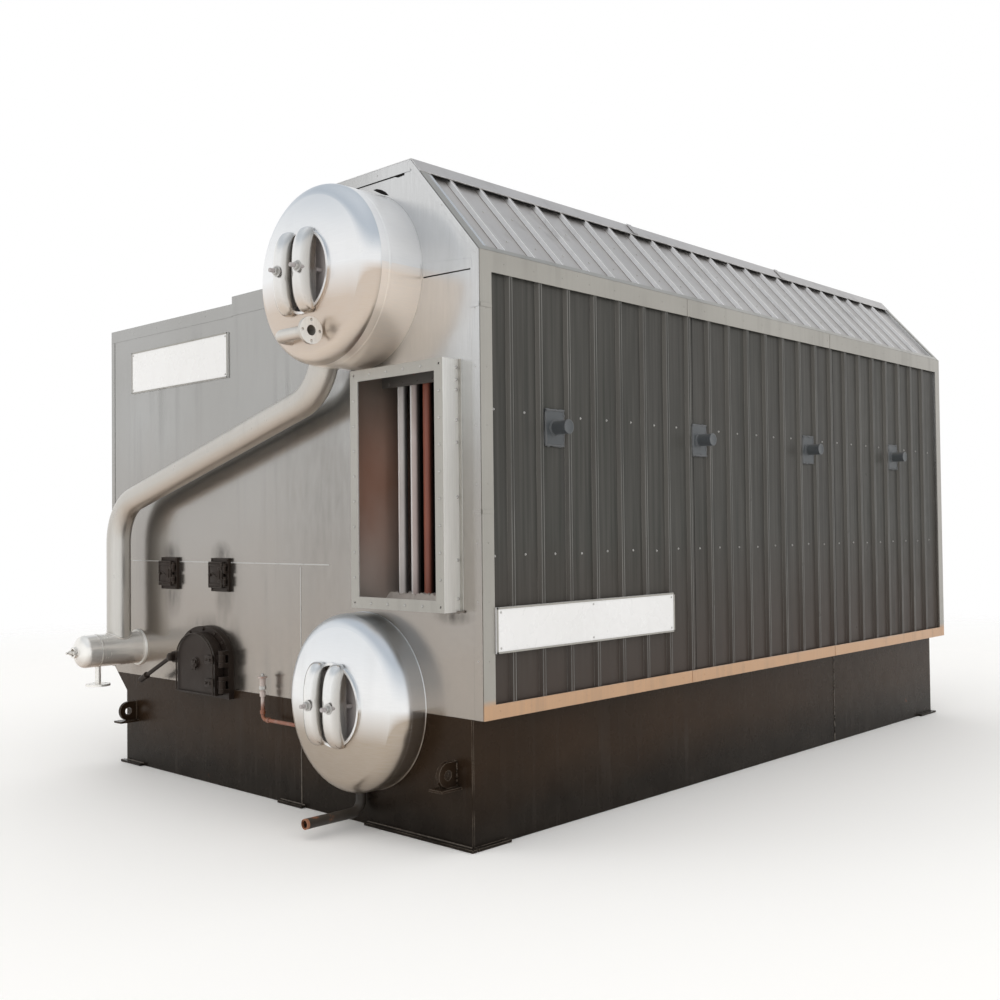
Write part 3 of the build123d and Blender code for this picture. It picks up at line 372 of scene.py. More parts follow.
def paint(
    name, pale, deep, rough, chip_and_edge_light, dust_amount=0.0, rust_spread=0.0, edge=0.003, lift=0.002, runs_amount=0.3,
    dings=0.3, streaks=0.0, shine=0.5, tint=(1, 1, 1), low_tone=None, drift=None, faces=(), breakup=40.0,
):
    """Painted steel: uneven gloss, worn edges, rust, washed dirt and dust; where asked, painted light and shade by
    facing, light painted reflection streaks, a lighter edge colour as a painted highlight, and a specular tint that
    colours the reflections.
    """
    material, tree, shader = start(name)
    worn = use(tree, edge_marks, Width=edge, Breakup=breakup)
    dusty = use(tree, dust, Amount=dust_amount)[0]
    washed = use(tree, runs, Scale=16.0, Amount=runs_amount)[0]
    colour = blend(tree, use(tree, clouds, Scale=1.7, Detail=6.0, Contrast=0.6)[0], deep, pale)
    if drift:
        patch = use(tree, clouds, Scale=0.7, Stretch=(1.0, 1.0, 0.7), Detail=2.0, Contrast=0.5)[0]
        colour = blend(tree, patch, colour, drift)
    colour = paint_light_by_facing(tree, colour, faces)
    # painted reflection: light vertical streaks
    if streaks:
        drawn = use(tree, clouds, Scale=9.0, Stretch=(4.0, 4.0, 0.12), Detail=4.0, Contrast=0.6)[0]
        colour = blend(tree, calc(tree, "MULTIPLY", drawn, streaks), colour, times(pale, 1.7))
    if low_tone:
        low, high, shade = low_tone
        colour = blend(tree, use(tree, height_tone, Low=low, High=high, Ragged=0.25)[0], shade, colour)
    colour = blend(tree, washed, colour, times(pale, 0.6, 0.03))
    if rust_spread:
        spots = use(tree, rust, Scale=6.0, Spread=rust_spread)
        colour = blend(tree, spots["Mask"], colour, spots["Tone"])
    # edge colour: worn paint; where it is lighter than the paint, as on the dark side walls, a painted highlight
    # along the edges
    colour = blend(tree, worn["Mask"], colour, chip_and_edge_light)
    fine = use(tree, clouds, Scale=9.0, Detail=7.0, Contrast=0.6)[0]
    feed(tree, shader, {
        "Base Color": blend(tree, dusty, colour, dust_colour),
        "Roughness": dulled(tree, spread(tree, fine, 0.0, 1.0, *rough), dusty, washed, 0.35),
        "Specular IOR Level": shine,
        # the specular tint colours the reflections; a warm tint is a painted warm reflection
        "Specular Tint": rgb(*tint),
    })
    shape_normal(tree, shader, worn, lift, Broad=0.6, Dings=dings, Grain=0.03)
    return material


# Streak directions of rolled sheet
level = (0.6, 0.6, 9.0)
upright = (6.0, 6.0, 0.25)

# Soot round the peep doors and the fire door, a brown patch under the header, a darker patch in the middle of the
# wall, soot under the right of the flue collar, and painted shade under the upper drum: place across and up, size,
# amount, shade
soot = rgb(0.06, 0.052, 0.045)
dirt_and_shade_rows = []
for low, high in (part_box("peep_frame_" + mark) for mark in "ab"):
    middle = (low[0] + high[0]) / 2
    dirt_and_shade_rows += [
        (middle - 0.01, high[2] + 0.02, (0.13, 0.2, 0.10), 0.75, soot),
        (middle + 0.02, low[2] - 0.04, (0.12, 0.2, 0.16), 0.70, soot),
        (high[0] + 0.02, (low[2] + high[2]) / 2, (0.06, 0.2, 0.16), 0.45, soot),
    ]
low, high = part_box("fire_door_frame")
dirt_and_shade_rows += [
    (high[0], high[2] - 0.16, (0.10, 0.2, 0.26), 0.50, soot),
    ((low[0] + high[0]) / 2, high[2], (0.30, 0.2, 0.10), 0.45, soot),
    (header_x, header_z - 0.10, (0.16, 0.2, 0.12), 0.45, rgb(0.14, 0.10, 0.075)),
    (0.58, 1.75, (0.60, 0.3, 0.95), 0.45, rgb(0.21, 0.20, 0.185)),
    (1.60, 1.13, (0.16, 0.2, 0.05), 0.8, soot),
    # painted shade on the wall under the upper drum
    (drum_x, upper_z - drum_radius - 0.01, (0.34, 0.2, 0.07), 0.5, rgb(0.12, 0.10, 0.085)),
]


def drum_coat(name, painted_ground_reflection, metal=0.92, painted_sky_reflection=rgb(0.68, 0.715, 0.75)):
    """Bright spun sheet of a drum, with a painted cool sky reflection on its upper faces and a painted tan ground
    reflection on the faces turned to the ground.
    """
    return sheet_metal(
        name, rgb(0.92, 0.925, 0.93), rgb(0.82, 0.825, 0.83), (0.25, 0.36), 0.003, level, 0.03, 0.10,
        dings=0.08, metal=metal, faces=[(up, painted_sky_reflection, 0.06, 0.28), (up, painted_ground_reflection, 0.005, -0.10)],
    )


def pipe_coat(name, pale, deep, rough, lift, dust_amount, runs_amount, dings, metal, painted_right_light, painted_ground_reflection):
    """Aluminium paint of a pipe, with painted light on the faces turned to the right and a painted tan ground
    reflection below.
    """
    return sheet_metal(
        name, pale, deep, rough, lift, upright, dust_amount, runs_amount, dings=dings, metal=metal,
        faces=[(rightward, painted_right_light), (up, painted_ground_reflection, -0.1, -0.8)],
    )


# painted light on the rib flanks of the side walls
painted_rib_flank_light = rgb(0.125, 0.119, 0.108)
# painted tan reflection of the ground, for the undersides of pipes
painted_ground_tan = rgb(0.52, 0.42, 0.34)
finish = {
    "wall_sheet": sheet_metal(
        "satin_wall_sheet", rgb(0.45, 0.45, 0.44), rgb(0.375, 0.37, 0.355), (0.16, 0.25), 0.004, upright, 0.10, 0.3,
        low_tone=(0.9, 2.3, 0.5, rgb(0.36, 0.32, 0.282)), dirt_and_shade_spots=dirt_and_shade_rows, metal=0.92,
        # painted reflection: the wall is lightened towards its upper right, where it mirrors the upper drum
        corner=(0.5, 1.15, 1.95, 2.70, rgb(0.66, 0.665, 0.67)),
    ),
    "roof_sheet": sheet_metal(
        "grey_roof_sheet", rgb(0.53, 0.51, 0.50), rgb(0.40, 0.385, 0.375), (0.28, 0.40), 0.005, upright, 0.08, 0.4,
        # painted highlight: white lines on the rib edges; painted light: the rib flanks lighter than the pans
        metal=0.6, edge=0.006, painted_edge_highlight=rgb(0.97, 0.97, 0.97),
        faces=[(frontward, rgb(0.66, 0.645, 0.635)), (rearward, rgb(0.8, 0.8, 0.8))],
    ),
    "trim_sheet": sheet_metal(
        "satin_flashing", rgb(0.42, 0.405, 0.37), rgb(0.33, 0.315, 0.285), (0.25, 0.36), 0.005, upright, 0.05, 0.4,
        # painted reflection: below about 0.7 m the trims turn tan, standing in for the ground they mirror
        low_tone=(0.700, 0.735, 0.05, rgb(0.56, 0.345, 0.205)), metal=0.8,
    ),
    # painted tan ground reflection on the undersides of the drums
    "drum_sheet": drum_coat("bright_drum_sheet", rgb(0.60, 0.495, 0.405)),
    # painted light on the right of the pipes and painted tan ground reflection below
    "pipe_sheet": pipe_coat(
        "aluminium_pipe_coat", rgb(0.71, 0.685, 0.645), rgb(0.59, 0.57, 0.53), (0.30, 0.42), 0.003, 0.06, 0.35,
        0.05, 0.66, rgb(0.94, 0.92, 0.88), painted_ground_tan,
    ),
    "cover_steel": paint(
        "grey_cover_paint", rgb(0.50, 0.46, 0.455), rgb(0.35, 0.32, 0.315), (0.4, 0.6), rgb(0.35, 0.33, 0.31), 0.1
    ),
    "side_sheet": paint(
        "dark_side_coat", rgb(0.052, 0.0495, 0.0455), rgb(0.034, 0.033, 0.030), (0.26, 0.40), rgb(0.16, 0.153, 0.14),
        # painted light and reflection: lighter rib flanks, a lighter edge colour as a highlight on the ribs, light
        # vertical streaks and a slightly warm specular tint
        0.04, edge=0.007, lift=0.003, runs_amount=0.5, streaks=0.85, low_tone=(0.70, 1.55, rgb(0.060, 0.047, 0.040)),
        shine=0.12, tint=(1, 0.97, 0.93), drift=rgb(0.031, 0.0345, 0.029), breakup=2.5,
        faces=[(frontward, painted_rib_flank_light), (rearward, painted_rib_flank_light)],
    ),
    "base_steel": paint(
        "gloss_black_base", rgb(0.030, 0.0165, 0.0088), rgb(0.017, 0.0100, 0.0058), (0.18, 0.36),
        rgb(0.24, 0.20, 0.16), 0.03, 0.05, edge=0.004, lift=0.004, runs_amount=0.35, shine=0.12,
        # painted reflection: the specular tint warms the reflections and the paint turns near black towards the foot,
        # standing in for the dark ground it mirrors
        tint=(1.0, 0.78, 0.58), breakup=6.0, low_tone=(0.10, 0.36, rgb(0.0075, 0.0058, 0.0046)),
    ),
    "hearth_steel": paint(
        "sooty_grate_iron", rgb(0.10, 0.09, 0.08), rgb(0.05, 0.045, 0.04), (0.6, 0.8), rgb(0.2, 0.18, 0.16), 0.6, 0.2
    ),
    "red_oxide": paint(
        "red_oxide_primer", rgb(0.22, 0.12, 0.09), rgb(0.12, 0.075, 0.06), (0.35, 0.55), rgb(0.3, 0.2, 0.16),
        0.1, 0.2, runs_amount=0.6,
    ),
    "casting": paint(
        "black_casting", rgb(0.026, 0.0175, 0.0140), rgb(0.010, 0.0080, 0.0068), (0.36, 0.56), rgb(0.13, 0.12, 0.105),
        # painted reflection: the specular tint warms the reflections of the black castings
        0.05, lift=0.0025, dings=0.9, shine=0.24, tint=(1.0, 0.82, 0.70),
    ),
    "copper_pipe": paint(
        "rusty_small_pipe", rgb(0.60, 0.52, 0.48), rgb(0.40, 0.31, 0.275), (0.3, 0.5), rgb(0.60, 0.50, 0.45),
        0.05, 0.35, edge=0.001, lift=0.001,
        low_tone=(sample_low_z + 0.075, sample_low_z + 0.125, rgb(0.26, 0.098, 0.058)),
    ),
    "black_pipe": paint(
        "black_blowdown_pipe", rgb(0.035, 0.028, 0.022), rgb(0.014, 0.011, 0.009), (0.35, 0.55),
        rgb(0.20, 0.09, 0.05), 0.1, 0.3, lift=0.001, shine=0.35,
    ),
    "port_steel": paint(
        "blue_grey_port_paint", rgb(0.080, 0.088, 0.094), rgb(0.055, 0.060, 0.064), (0.35, 0.5),
        rgb(0.26, 0.26, 0.26), 0.15, 0.05, edge=0.002, lift=0.001,
    ),
    "white_sign": paint(
        "white_enamel", rgb(0.84, 0.835, 0.83), rgb(0.77, 0.765, 0.755), (0.22, 0.34), rgb(0.5, 0.5, 0.49), 0.06,
        edge=0.002, lift=0.001, runs_amount=0.10, dings=0.1,
    ),
}


def tube_finish():
    """Tubes: primer that changes from tube to tube, a painted highlight on the faces turned to the front left, and
    painted shade on the rear rows and the shaded sides.
    """
    material, tree, shader = start("primed_bank_tubes")
    place = parts(tree, here(tree))
    mottle = use(tree, clouds, Scale=9.0, Stretch=(1, 1, 0.4), Detail=6.0, Contrast=0.6)[0]
    first = blend(tree, mottle, rgb(0.50, 0.455, 0.435), rgb(0.72, 0.685, 0.67))
    second = blend(tree, mottle, rgb(0.42, 0.33, 0.305), rgb(0.64, 0.555, 0.535))
    third = blend(tree, mottle, rgb(0.20, 0.055, 0.035), rgb(0.33, 0.10, 0.062))
    colour = blend(tree, spread(tree, place["X"], 1.085, 1.095), first, second)
    # painted highlight on the faces turned to the front left
    colour = paint_light_by_facing(tree, colour, [((-0.42, -0.907, 0), rgb(0.96, 0.94, 0.92), 0.80, 0.97)])
    colour = blend(tree, spread(tree, place["X"], 1.185, 1.195), colour, third)
    # painted shade on the rear rows and on the faces turned away
    deep = spread(tree, place["Y"], along(0.205), along(0.235))
    shade = spread(tree, parts(tree, surface(tree, "Normal"))["Y"], -0.60, -0.15)
    dark = calc(tree, "MAXIMUM", deep, calc(tree, "MULTIPLY", shade, 0.85))
    feed(tree, shader, {
        "Base Color": blend(tree, dark, colour, rgb(0.012, 0.010, 0.009)),
        "Roughness": spread(tree, mottle, 0.0, 1.0, 0.35, 0.55),
    })
    shape_normal(tree, shader, use(tree, edge_marks, Width=0.002), 0.002, Broad=0.2, Dings=0.2, Grain=0.05)
    return material


def liner_finish():
    """The plate inside the flue outlet: pale low, red-brown in the middle as a painted reddish reflection, darker at
    the top.
    """
    material, tree, shader = start("flue_liner_painted_reflection")
    rise = use(tree, height_tone, Low=1.20, High=1.75, Ragged=0.5)[0]
    top = use(tree, height_tone, Low=1.85, High=2.35, Ragged=0.4)[0]
    mottle = use(tree, clouds, Scale=5.0, Stretch=(1, 1, 0.5), Detail=6.0, Contrast=0.7)[0]
    low = blend(tree, mottle, rgb(0.48, 0.42, 0.385), rgb(0.60, 0.54, 0.50))
    # painted reflection: the reddish middle
    middle = blend(tree, mottle, rgb(0.34, 0.185, 0.13), rgb(0.44, 0.28, 0.22))
    high = blend(tree, mottle, rgb(0.19, 0.155, 0.13), rgb(0.29, 0.245, 0.21))
    feed(tree, shader, {
        "Base Color": blend(tree, top, blend(tree, rise, low, middle), high),
        "Roughness": spread(tree, mottle, 0.0, 1.0, 0.28, 0.46),
        "Metallic": 0.35,
    })
    shape_normal(tree, shader, use(tree, edge_marks, Width=0.002), 0.003, Broad=0.6, Dings=0.2, Grain=0.02)
    return material


finish["tube_steel"] = tube_finish()
collar_finish = sheet_metal(
    "pale_collar_sheet", rgb(0.44, 0.425, 0.39), rgb(0.35, 0.335, 0.305), (0.30, 0.42), 0.004, upright, 0.05, 0.4,
    # painted light: the right side of the collar is much lighter, standing in for the light on it and its reflection
    # in the wall
    metal=0.55, faces=[(rightward, rgb(0.90, 0.89, 0.86))],
)
# painted reflections on the upper drum shell: a pale tan ground reflection below and a pale sky reflection above
shell_finish = drum_coat("bright_shell_sheet", rgb(0.95, 0.82, 0.70), 0.62, rgb(0.90, 0.89, 0.88))
bow_finish = sheet_metal(
    "pressed_bow_sheet", rgb(0.88, 0.88, 0.87), rgb(0.74, 0.74, 0.73), (0.18, 0.28), 0.003, level, 0.03, 0.1,
    dings=0.08, metal=0.92,
    # painted shade: both flanks of each bow darken towards its edges, and a painted tan ground reflection lies on the
    # faces turned down
    faces=[
        (rightward, rgb(0.50, 0.485, 0.46), 0.55, 0.98),
        (leftward, rgb(0.34, 0.33, 0.315), 0.5, 0.95),
        (up, rgb(0.58, 0.49, 0.41), 0.05, -0.5),
    ],
)
# painted highlight: thin pale strips along the roof rib edges
roof_shine = sheet_metal(
    "painted_roof_rib_highlight", rgb(0.98, 0.975, 0.97), rgb(0.74, 0.73, 0.725), (0.25, 0.36), 0.0005, upright, 0.02, 0.1,
    edge=0.0006, metal=0.45,
)
# painted light on the right of the header and painted tan ground reflection below
header_finish = pipe_coat(
    "aluminium_header_coat", rgb(0.92, 0.905, 0.87), rgb(0.84, 0.82, 0.785), (0.20, 0.30), 0.0006, 0.03, 0.12,
    0.02, 0.6, rgb(1, 0.985, 0.95), painted_ground_tan,
)
# painted light on the right of the downcomer and painted tan ground reflection below
downcomer_finish = pipe_coat(
    "aluminium_downcomer_coat", rgb(0.60, 0.575, 0.535), rgb(0.49, 0.465, 0.43), (0.24, 0.36), 0.003, 0.05, 0.35,
    0.05, 0.8, rgb(0.66, 0.645, 0.61), rgb(0.46, 0.375, 0.305),
)
# painted reflection on the lower drum: a darker tan below, for the dark base and ground it mirrors
low_drum_finish = drum_coat("low_drum_sheet", rgb(0.44, 0.36, 0.28))
# painted highlight: thin light strips along the side rib edges
rib_shine = paint(
    "painted_side_rib_highlight", rgb(0.22, 0.215, 0.20), rgb(0.04, 0.038, 0.035), (0.25, 0.40), rgb(0.2, 0.19, 0.18),
    edge=0.0006, lift=0.001,
)
# painted shade: thin dark strips at the foot of each roof rib, where its shadow lies on the pan
roof_foot_shade_coat = paint(
    "painted_rib_foot_shade", rgb(0.17, 0.15, 0.135), rgb(0.07, 0.062, 0.055), (0.5, 0.7), rgb(0.2, 0.18, 0.16),
    edge=0.0006, lift=0.0005,
)
door_brick = paint(
    "sooty_door_lining", rgb(0.24, 0.18, 0.135), rgb(0.055, 0.045, 0.038), (0.7, 0.9), rgb(0.35, 0.30, 0.26), 0.1,
    lift=0.004, breakup=6.0,
)
grey_seal = paint(
    "grey_port_sealant", rgb(0.13, 0.135, 0.14), rgb(0.075, 0.078, 0.08), (0.6, 0.8), rgb(0.16, 0.16, 0.16),
    lift=0.003,
)
grey_mastic = paint(
    "grey_mastic", rgb(0.20, 0.17, 0.145), rgb(0.10, 0.085, 0.07), (0.6, 0.8), rgb(0.24, 0.21, 0.18), lift=0.003
)
flue_liner_finish = liner_finish()
# zinc fasteners; also the lap strips of the end walls, where the lighter finish is a painted highlight along the
# seams
bright_steel = sheet_metal(
    "zinc_fastener_and_seam_highlight", rgb(0.60, 0.59, 0.57), rgb(0.42, 0.41, 0.39), (0.28, 0.42), 0.0005, upright, 0.05, 0.1,
    edge=0.0006,
)
# dark joints and openings, and the painted shadow under the ridge cap
dark_gap_and_shadow = paint(
    "dark_gap_and_shadow", rgb(0.010, 0.009, 0.008), rgb(0.005, 0.005, 0.004), (0.7, 0.9), rgb(0.03, 0.03, 0.03), shine=0.1
)
curb_mortar = paint(
    "pale_curb_mortar", rgb(0.62, 0.58, 0.54), rgb(0.44, 0.40, 0.37), (0.7, 0.9), rgb(0.6, 0.57, 0.54), 0.1,
    lift=0.006,
)
rusty_end = paint(
    "rusty_cut_end", rgb(0.34, 0.15, 0.08), rgb(0.20, 0.08, 0.045), (0.6, 0.8), rgb(0.42, 0.22, 0.12), 0.1, 0.5,
    edge=0.001, lift=0.001,
)
scuffed_weld = paint(
    "scuffed_weld", rgb(0.15, 0.125, 0.10), rgb(0.05, 0.04, 0.032), (0.4, 0.6), rgb(0.25, 0.22, 0.18), lift=0.001
)

own_finish = {
    "ridge_cap": finish["roof_sheet"],
    "side_header": header_finish,
    "header_cap": header_finish,
    "header_drain": header_finish,
    "downcomer": downcomer_finish,
    "flue_collar": collar_finish,
    "upper_drum_shell": shell_finish,
    "lower_drum_shell": low_drum_finish,
    "lower_head_front": low_drum_finish,
    "lower_head_rear": low_drum_finish,
}
slot_of = {row["node"]: row["material_slot"] for row in frame["record"]["subparts"]}
for label, solid in nodes.items():
    solid.data.materials.clear()
    solid.data.materials.append(own_finish.get(label, finish[slot_of[label]]))


# Mesh helpers
def prism(mesh, outline, push):
    """A plate: an outline of points, made solid by a push off its plane."""
    front = [mesh.verts.new(Vector(point) + Vector(push)) for point in outline]
    back = [mesh.verts.new(Vector(point)) for point in outline]
    faces = [mesh.faces.new(front), mesh.faces.new(back[::-1])]
    for place in range(len(outline)):
        nxt = (place + 1) % len(outline)
        faces.append(mesh.faces.new((front[nxt], front[place], back[place], back[nxt])))
    bmesh.ops.recalc_face_normals(mesh, faces=faces)


def strip(mesh, first, last, side, push):
    """A flat strip from first to last, as wide as side, made solid by a push."""
    first, last, side = Vector(first), Vector(last), Vector(side)
    prism(mesh, [first, last, last + side, first + side], push)


def slab(mesh, first, last, soft=0.0):
    """A block between two opposite corners, with softened edges."""
    made = bmesh.ops.create_cube(mesh, size=1.0)["verts"]
    for vert in made:
        vert.co = Vector([min(a, b) + (share + 0.5) * abs(b - a) for a, b, share in zip(first, last, vert.co)])
    if soft:
        edges = {edge for vert in made for edge in vert.link_edges}
        bmesh.ops.bevel(mesh, geom=list(edges), offset=soft, segments=2, profile=0.5, affect="EDGES")


def turn_to(normal):
    """A matrix that stands Z on a direction."""
    return Vector(normal).to_track_quat("Z", "Y").to_matrix()


def circle(radius, sides, rise=0.0, turn=0.0):
    """Points of a circle round Z, or the one point where the radius is 0."""
    angles = [turn + 2 * math.pi * step / sides for step in range(sides if radius > 0 else 1)]
    return [Vector((radius * math.cos(angle), radius * math.sin(angle), rise)) for angle in angles]


def arch(x, y, z, half, rise, steps):
    """Points of a half ellipse over a place, from its right end to its left."""
    angles = [math.pi * step / steps for step in range(steps + 1)]
    return [Vector((x + half * math.cos(angle), y, z + rise * math.sin(angle))) for angle in angles]


def stitch(mesh, rings):
    """Faces between rings of points; a ring of one point closes an end."""
    for lower, upper in zip(rings, rings[1:]):
        count = max(len(lower), len(upper))
        for step in range(count):
            nxt = (step + 1) % count
            if len(lower) == 1:
                mesh.faces.new((upper[nxt], upper[step], lower[0]))
            elif len(upper) == 1:
                mesh.faces.new((lower[step], lower[nxt], upper[0]))
            else:
                mesh.faces.new((lower[step], lower[nxt], upper[nxt], upper[step]))


def close_ends(mesh, rings):
    """Flat faces over the first and the last ring."""
    mesh.faces.new(rings[0][::-1])
    mesh.faces.new(rings[-1])


def lathe(mesh, place, normal, profile, sides, turn=0.0):
    """Turn a profile of (radius, rise) points about a direction; a radius of 0 closes on the axis."""
    stand = turn_to(normal)
    place = Vector(place)
    rings = []
    for radius, rise in profile:
        rings.append([mesh.verts.new(place + stand @ spot) for spot in circle(radius, sides, rise, turn)])
    stitch(mesh, rings)


def dome(mesh, place, normal, radius, rise, sides=12):
    """A rivet or pan-head screw."""
    shares = ((1, 0), (0.97, 0.35), (0.78, 0.75), (0.42, 0.96), (0, 1))
    lathe(mesh, place, normal, [(radius * wide, rise * tall) for wide, tall in shares], sides)


def hex_bolt(mesh, place, normal, radius, height, washer=0.0):
    """A hexagon nut or bolt head, on a washer if one is asked for, with the end of its stud."""
    seat = 0.0
    if washer:
        seat = height * 0.18
        ring = [(washer, 0), (washer, seat * 0.8), (washer * 0.96, seat), (radius * 0.5, seat)]
        lathe(mesh, place, normal, ring, 24)
    top = seat + height
    turn = chance.uniform(0, math.pi / 3)
    sides = [(radius, seat), (radius, top - height * 0.12), (radius * 0.86, top), (radius * 0.55, top)]
    lathe(mesh, place, normal, sides, 6, turn)
    core = radius * 0.56
    stud = [(core, top - height * 0.2), (core, top - core * 0.25), (core * 0.75, top), (0, top)]
    lathe(mesh, place, normal, stud, 16)


def ring_band(mesh, centre, axis, profile, sides=96):
    """A closed ring from a closed profile of (radius, along) points."""
    lathe(mesh, centre, axis, profile + profile[:1], sides)


def bead(mesh, points, radius, sides=7, closed=False, wobble=0.25):
    """A weld bead or round bar along points."""
    count = len(points)
    rings = []
    for place, point in enumerate(points):
        before = points[place - 1] if place or closed else point
        after = points[(place + 1) % count] if place < count - 1 or closed else point
        stand = turn_to((after - before).normalized())
        size = radius * (1 + chance.uniform(-wobble, wobble))
        rings.append([mesh.verts.new(point + stand @ spot) for spot in circle(size, sides)])
    stitch(mesh, rings + rings[:1] if closed else rings)
    if not closed:
        close_ends(mesh, rings)


def run_of(first, last, pitch):
    """Points from first to last about a pitch apart."""
    first, last = Vector(first), Vector(last)
    count = max(1, round((last - first).length / pitch))
    return [first.lerp(last, step / count) for step in range(count + 1)]


def rivet_row(mesh, first, last, pitch, normal, radius, rise, sides=12, ends=True):
    """Rivets or screws from first to last about a pitch apart, with or without the two end ones."""
    points = run_of(first, last, pitch)
    for point in points if ends else points[1:-1]:
        dome(mesh, point, normal, radius, rise, sides)


def weld_line(mesh, first, last, radius=0.0045, pitch=0.012):
    """A straight weld bead."""
    bead(mesh, run_of(first, last, pitch), radius)


def piece(name, mesh, slot, coat=None, body=block, sharp=35):
    """Make an object of a mesh, give it its own coat or its slot's finish and let it ride on a body."""
    data = bpy.data.meshes.new(name)
    mesh.to_mesh(data)
    mesh.free()
    for face in data.polygons:
        face.use_smooth = True
    data.set_sharp_from_angle(angle=math.radians(sharp))
    obj = bpy.data.objects.new(name, data)
    bpy.context.scene.collection.objects.link(obj)
    data.materials.append(coat or finish[slot])
    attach(obj, body)
    return obj


# Trims of the two end walls
def end_trims(name, face, out):
    """Flat trims round one end wall; out is the way the wall faces along Y."""
    trim, heads = bmesh.new(), bmesh.new()
    thick, joint_wide = 0.003, 0.062
    for first, last, width, inward, over in (
        ((-half_width, low_roof_z), (step_x, low_roof_z - low_roof_fall), 0.078, down, 0.0),
        ((step_x, step_z), (left_foot_x, step_z), 0.118, down, 0.0),
        ((-half_width, casing_bottom), (-half_width, low_roof_z - 0.079), 0.040, rightward, 0.0),
        ((half_width, casing_bottom), (half_width, eave_z), 0.057, leftward, 0.0),
        ((left_ridge_x, ridge_z), (ridge_x, ridge_z), 0.060, down, 0.0004),
        ((half_width, eave_z), (ridge_x, ridge_z), 0.030, (-slope_out.x, 0, -slope_out.z), 0.0008),
        ((left_foot_x, step_z), (left_ridge_x, ridge_z), 0.030, (slope_out.x, 0, -slope_out.z), 0.0008),
    ):
        first, last = Vector((first[0], face, first[1])), Vector((last[0], face, last[1]))
        side = Vector(inward).normalized() * width
        push = Vector((0, out * (thick + over), 0))
        strip(trim, first, last, side, push)
        middle = side * 0.5 + push
        rivet_row(heads, first + middle, last + middle, 0.30, (0, out, 0), 0.0040, 0.0022, 10, ends=False)
    for z in trim_joints:
        first = Vector((half_width - joint_wide, face + out * (thick + 0.0009), z))
        strip(trim, first, first + Vector((joint_wide, 0, 0)), (0, 0, 0.022), (0, out * 0.0025, 0))
    piece(name, trim, "trim_sheet", finish["wall_sheet"])
    piece(name + "_screws", heads, "trim_sheet", bright_steel)


end_trims("end_wall_trims", wall_y, -1)
end_trims("rear_wall_trims", rear_y, 1)


def wall_laps(name, face, out, laps):
    """Lapped sheet joints on an end wall, each with its rivets."""
    lap, heads = bmesh.new(), bmesh.new()
    push = Vector((0, out * 0.0016, 0))
    for first, last in laps:
        first, last = Vector((first[0], face, first[1])), Vector((last[0], face, last[1]))
        side = (last - first).cross(Vector(rearward)).normalized() * 0.003
        strip(lap, first - side, last - side, side * 2, push)
        rivet_row(heads, first + push, last + push, 0.24, (0, out, 0), 0.0045, 0.0025, 10, ends=False)
    # painted highlight: the lap strips take the brighter fastener finish, a light line along each seam
    piece(name, lap, "wall_sheet", bright_steel)
    piece(name + "_rivets", heads, "wall_sheet", bright_steel)


low_lap, high_lap = 1.372, 2.15
wall_laps(
    "end_wall_laps", wall_y, -1,
    [((-1.52, low_lap), (0.62, low_lap)), ((base_seam_x, casing_bottom), (base_seam_x, 1.357))],
)
wall_laps(
    "rear_wall_laps", rear_y, 1,
    [
        ((-1.76, low_lap), (0.44, low_lap)),
        ((-1.76, high_lap), (0.30, high_lap)),
        ((-0.62, casing_bottom), (-0.62, 2.87)),
    ],
)

# Lapped plate and open slots beside the upper drum
patch, slots = bmesh.new(), bmesh.new()
plate = [(1.405, 2.848), (1.752, 2.838), (1.752, 2.888), (1.405, 2.921)]
plate_gap = [(1.405, 2.842), (1.752, 2.833), (1.752, 2.838), (1.405, 2.848)]
top_slit = [
    (0.78, 3.4105), (1.19, 3.4095), (1.215, 3.402), (1.262, 3.404), (1.264, 3.414), (1.19, 3.4135), (0.78, 3.4135),
]
lens = [
    (1.020, 3.377), (1.050, 3.376), (1.085, 3.364), (1.118, 3.345),
    (1.142, 3.322), (1.112, 3.330), (1.078, 3.345), (1.045, 3.362),
]
for mesh, outline, depth in (
    (patch, plate, 0.0035), (slots, top_slit, 0.0040), (slots, lens, 0.0018), (slots, plate_gap, 0.0012),
):
    prism(mesh, [at(x, 0, z) for x, z in outline], (0, -depth, 0))
piece("lapped_plate", patch, "wall_sheet")
piece("open_slots", slots, "wall_sheet", dark_gap_and_shadow)


# Drum bands
def drum_rings(name, height, seam, rim, coat):
    """The lapped seam round the shell or the bead at the wall, at both ends of a drum, and the rear button."""
    bands = bmesh.new()
    skin = drum_radius
    for face, out in ((wall_y, -1), (rear_y, 1)):
        axis = Vector((0, out, 0))
        base = Vector((drum_x, face, height))
        if rim:
            ring_band(bands, base, axis, [(skin, 0), (skin, 0.004), (skin + 0.002, 0.003), (skin + rim, 0)])
        if seam:
            lap = [(skin - 0.001, 0), (skin - 0.001, 0.016), (skin + 0.0005, 0.0155), (skin + 0.0009, 0.0005)]
            ring_band(bands, base + axis * seam, axis, lap)
    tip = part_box(name.split("_")[0] + "_head_rear")[1][1]
    button = [(0.034, -0.004), (0.034, 0.0), (0.030, 0.003), (0.016, 0.0045), (0, 0.005)]
    lathe(bands, (drum_x, tip, height), rearward, button, 32)
    piece(name, bands, "drum_sheet", coat)


drum_rings("upper_drum_seams", upper_z, 0.207, 0.0, shell_finish)
drum_rings("lower_drum_rims", lower_z, 0.0, 0.003, low_drum_finish)


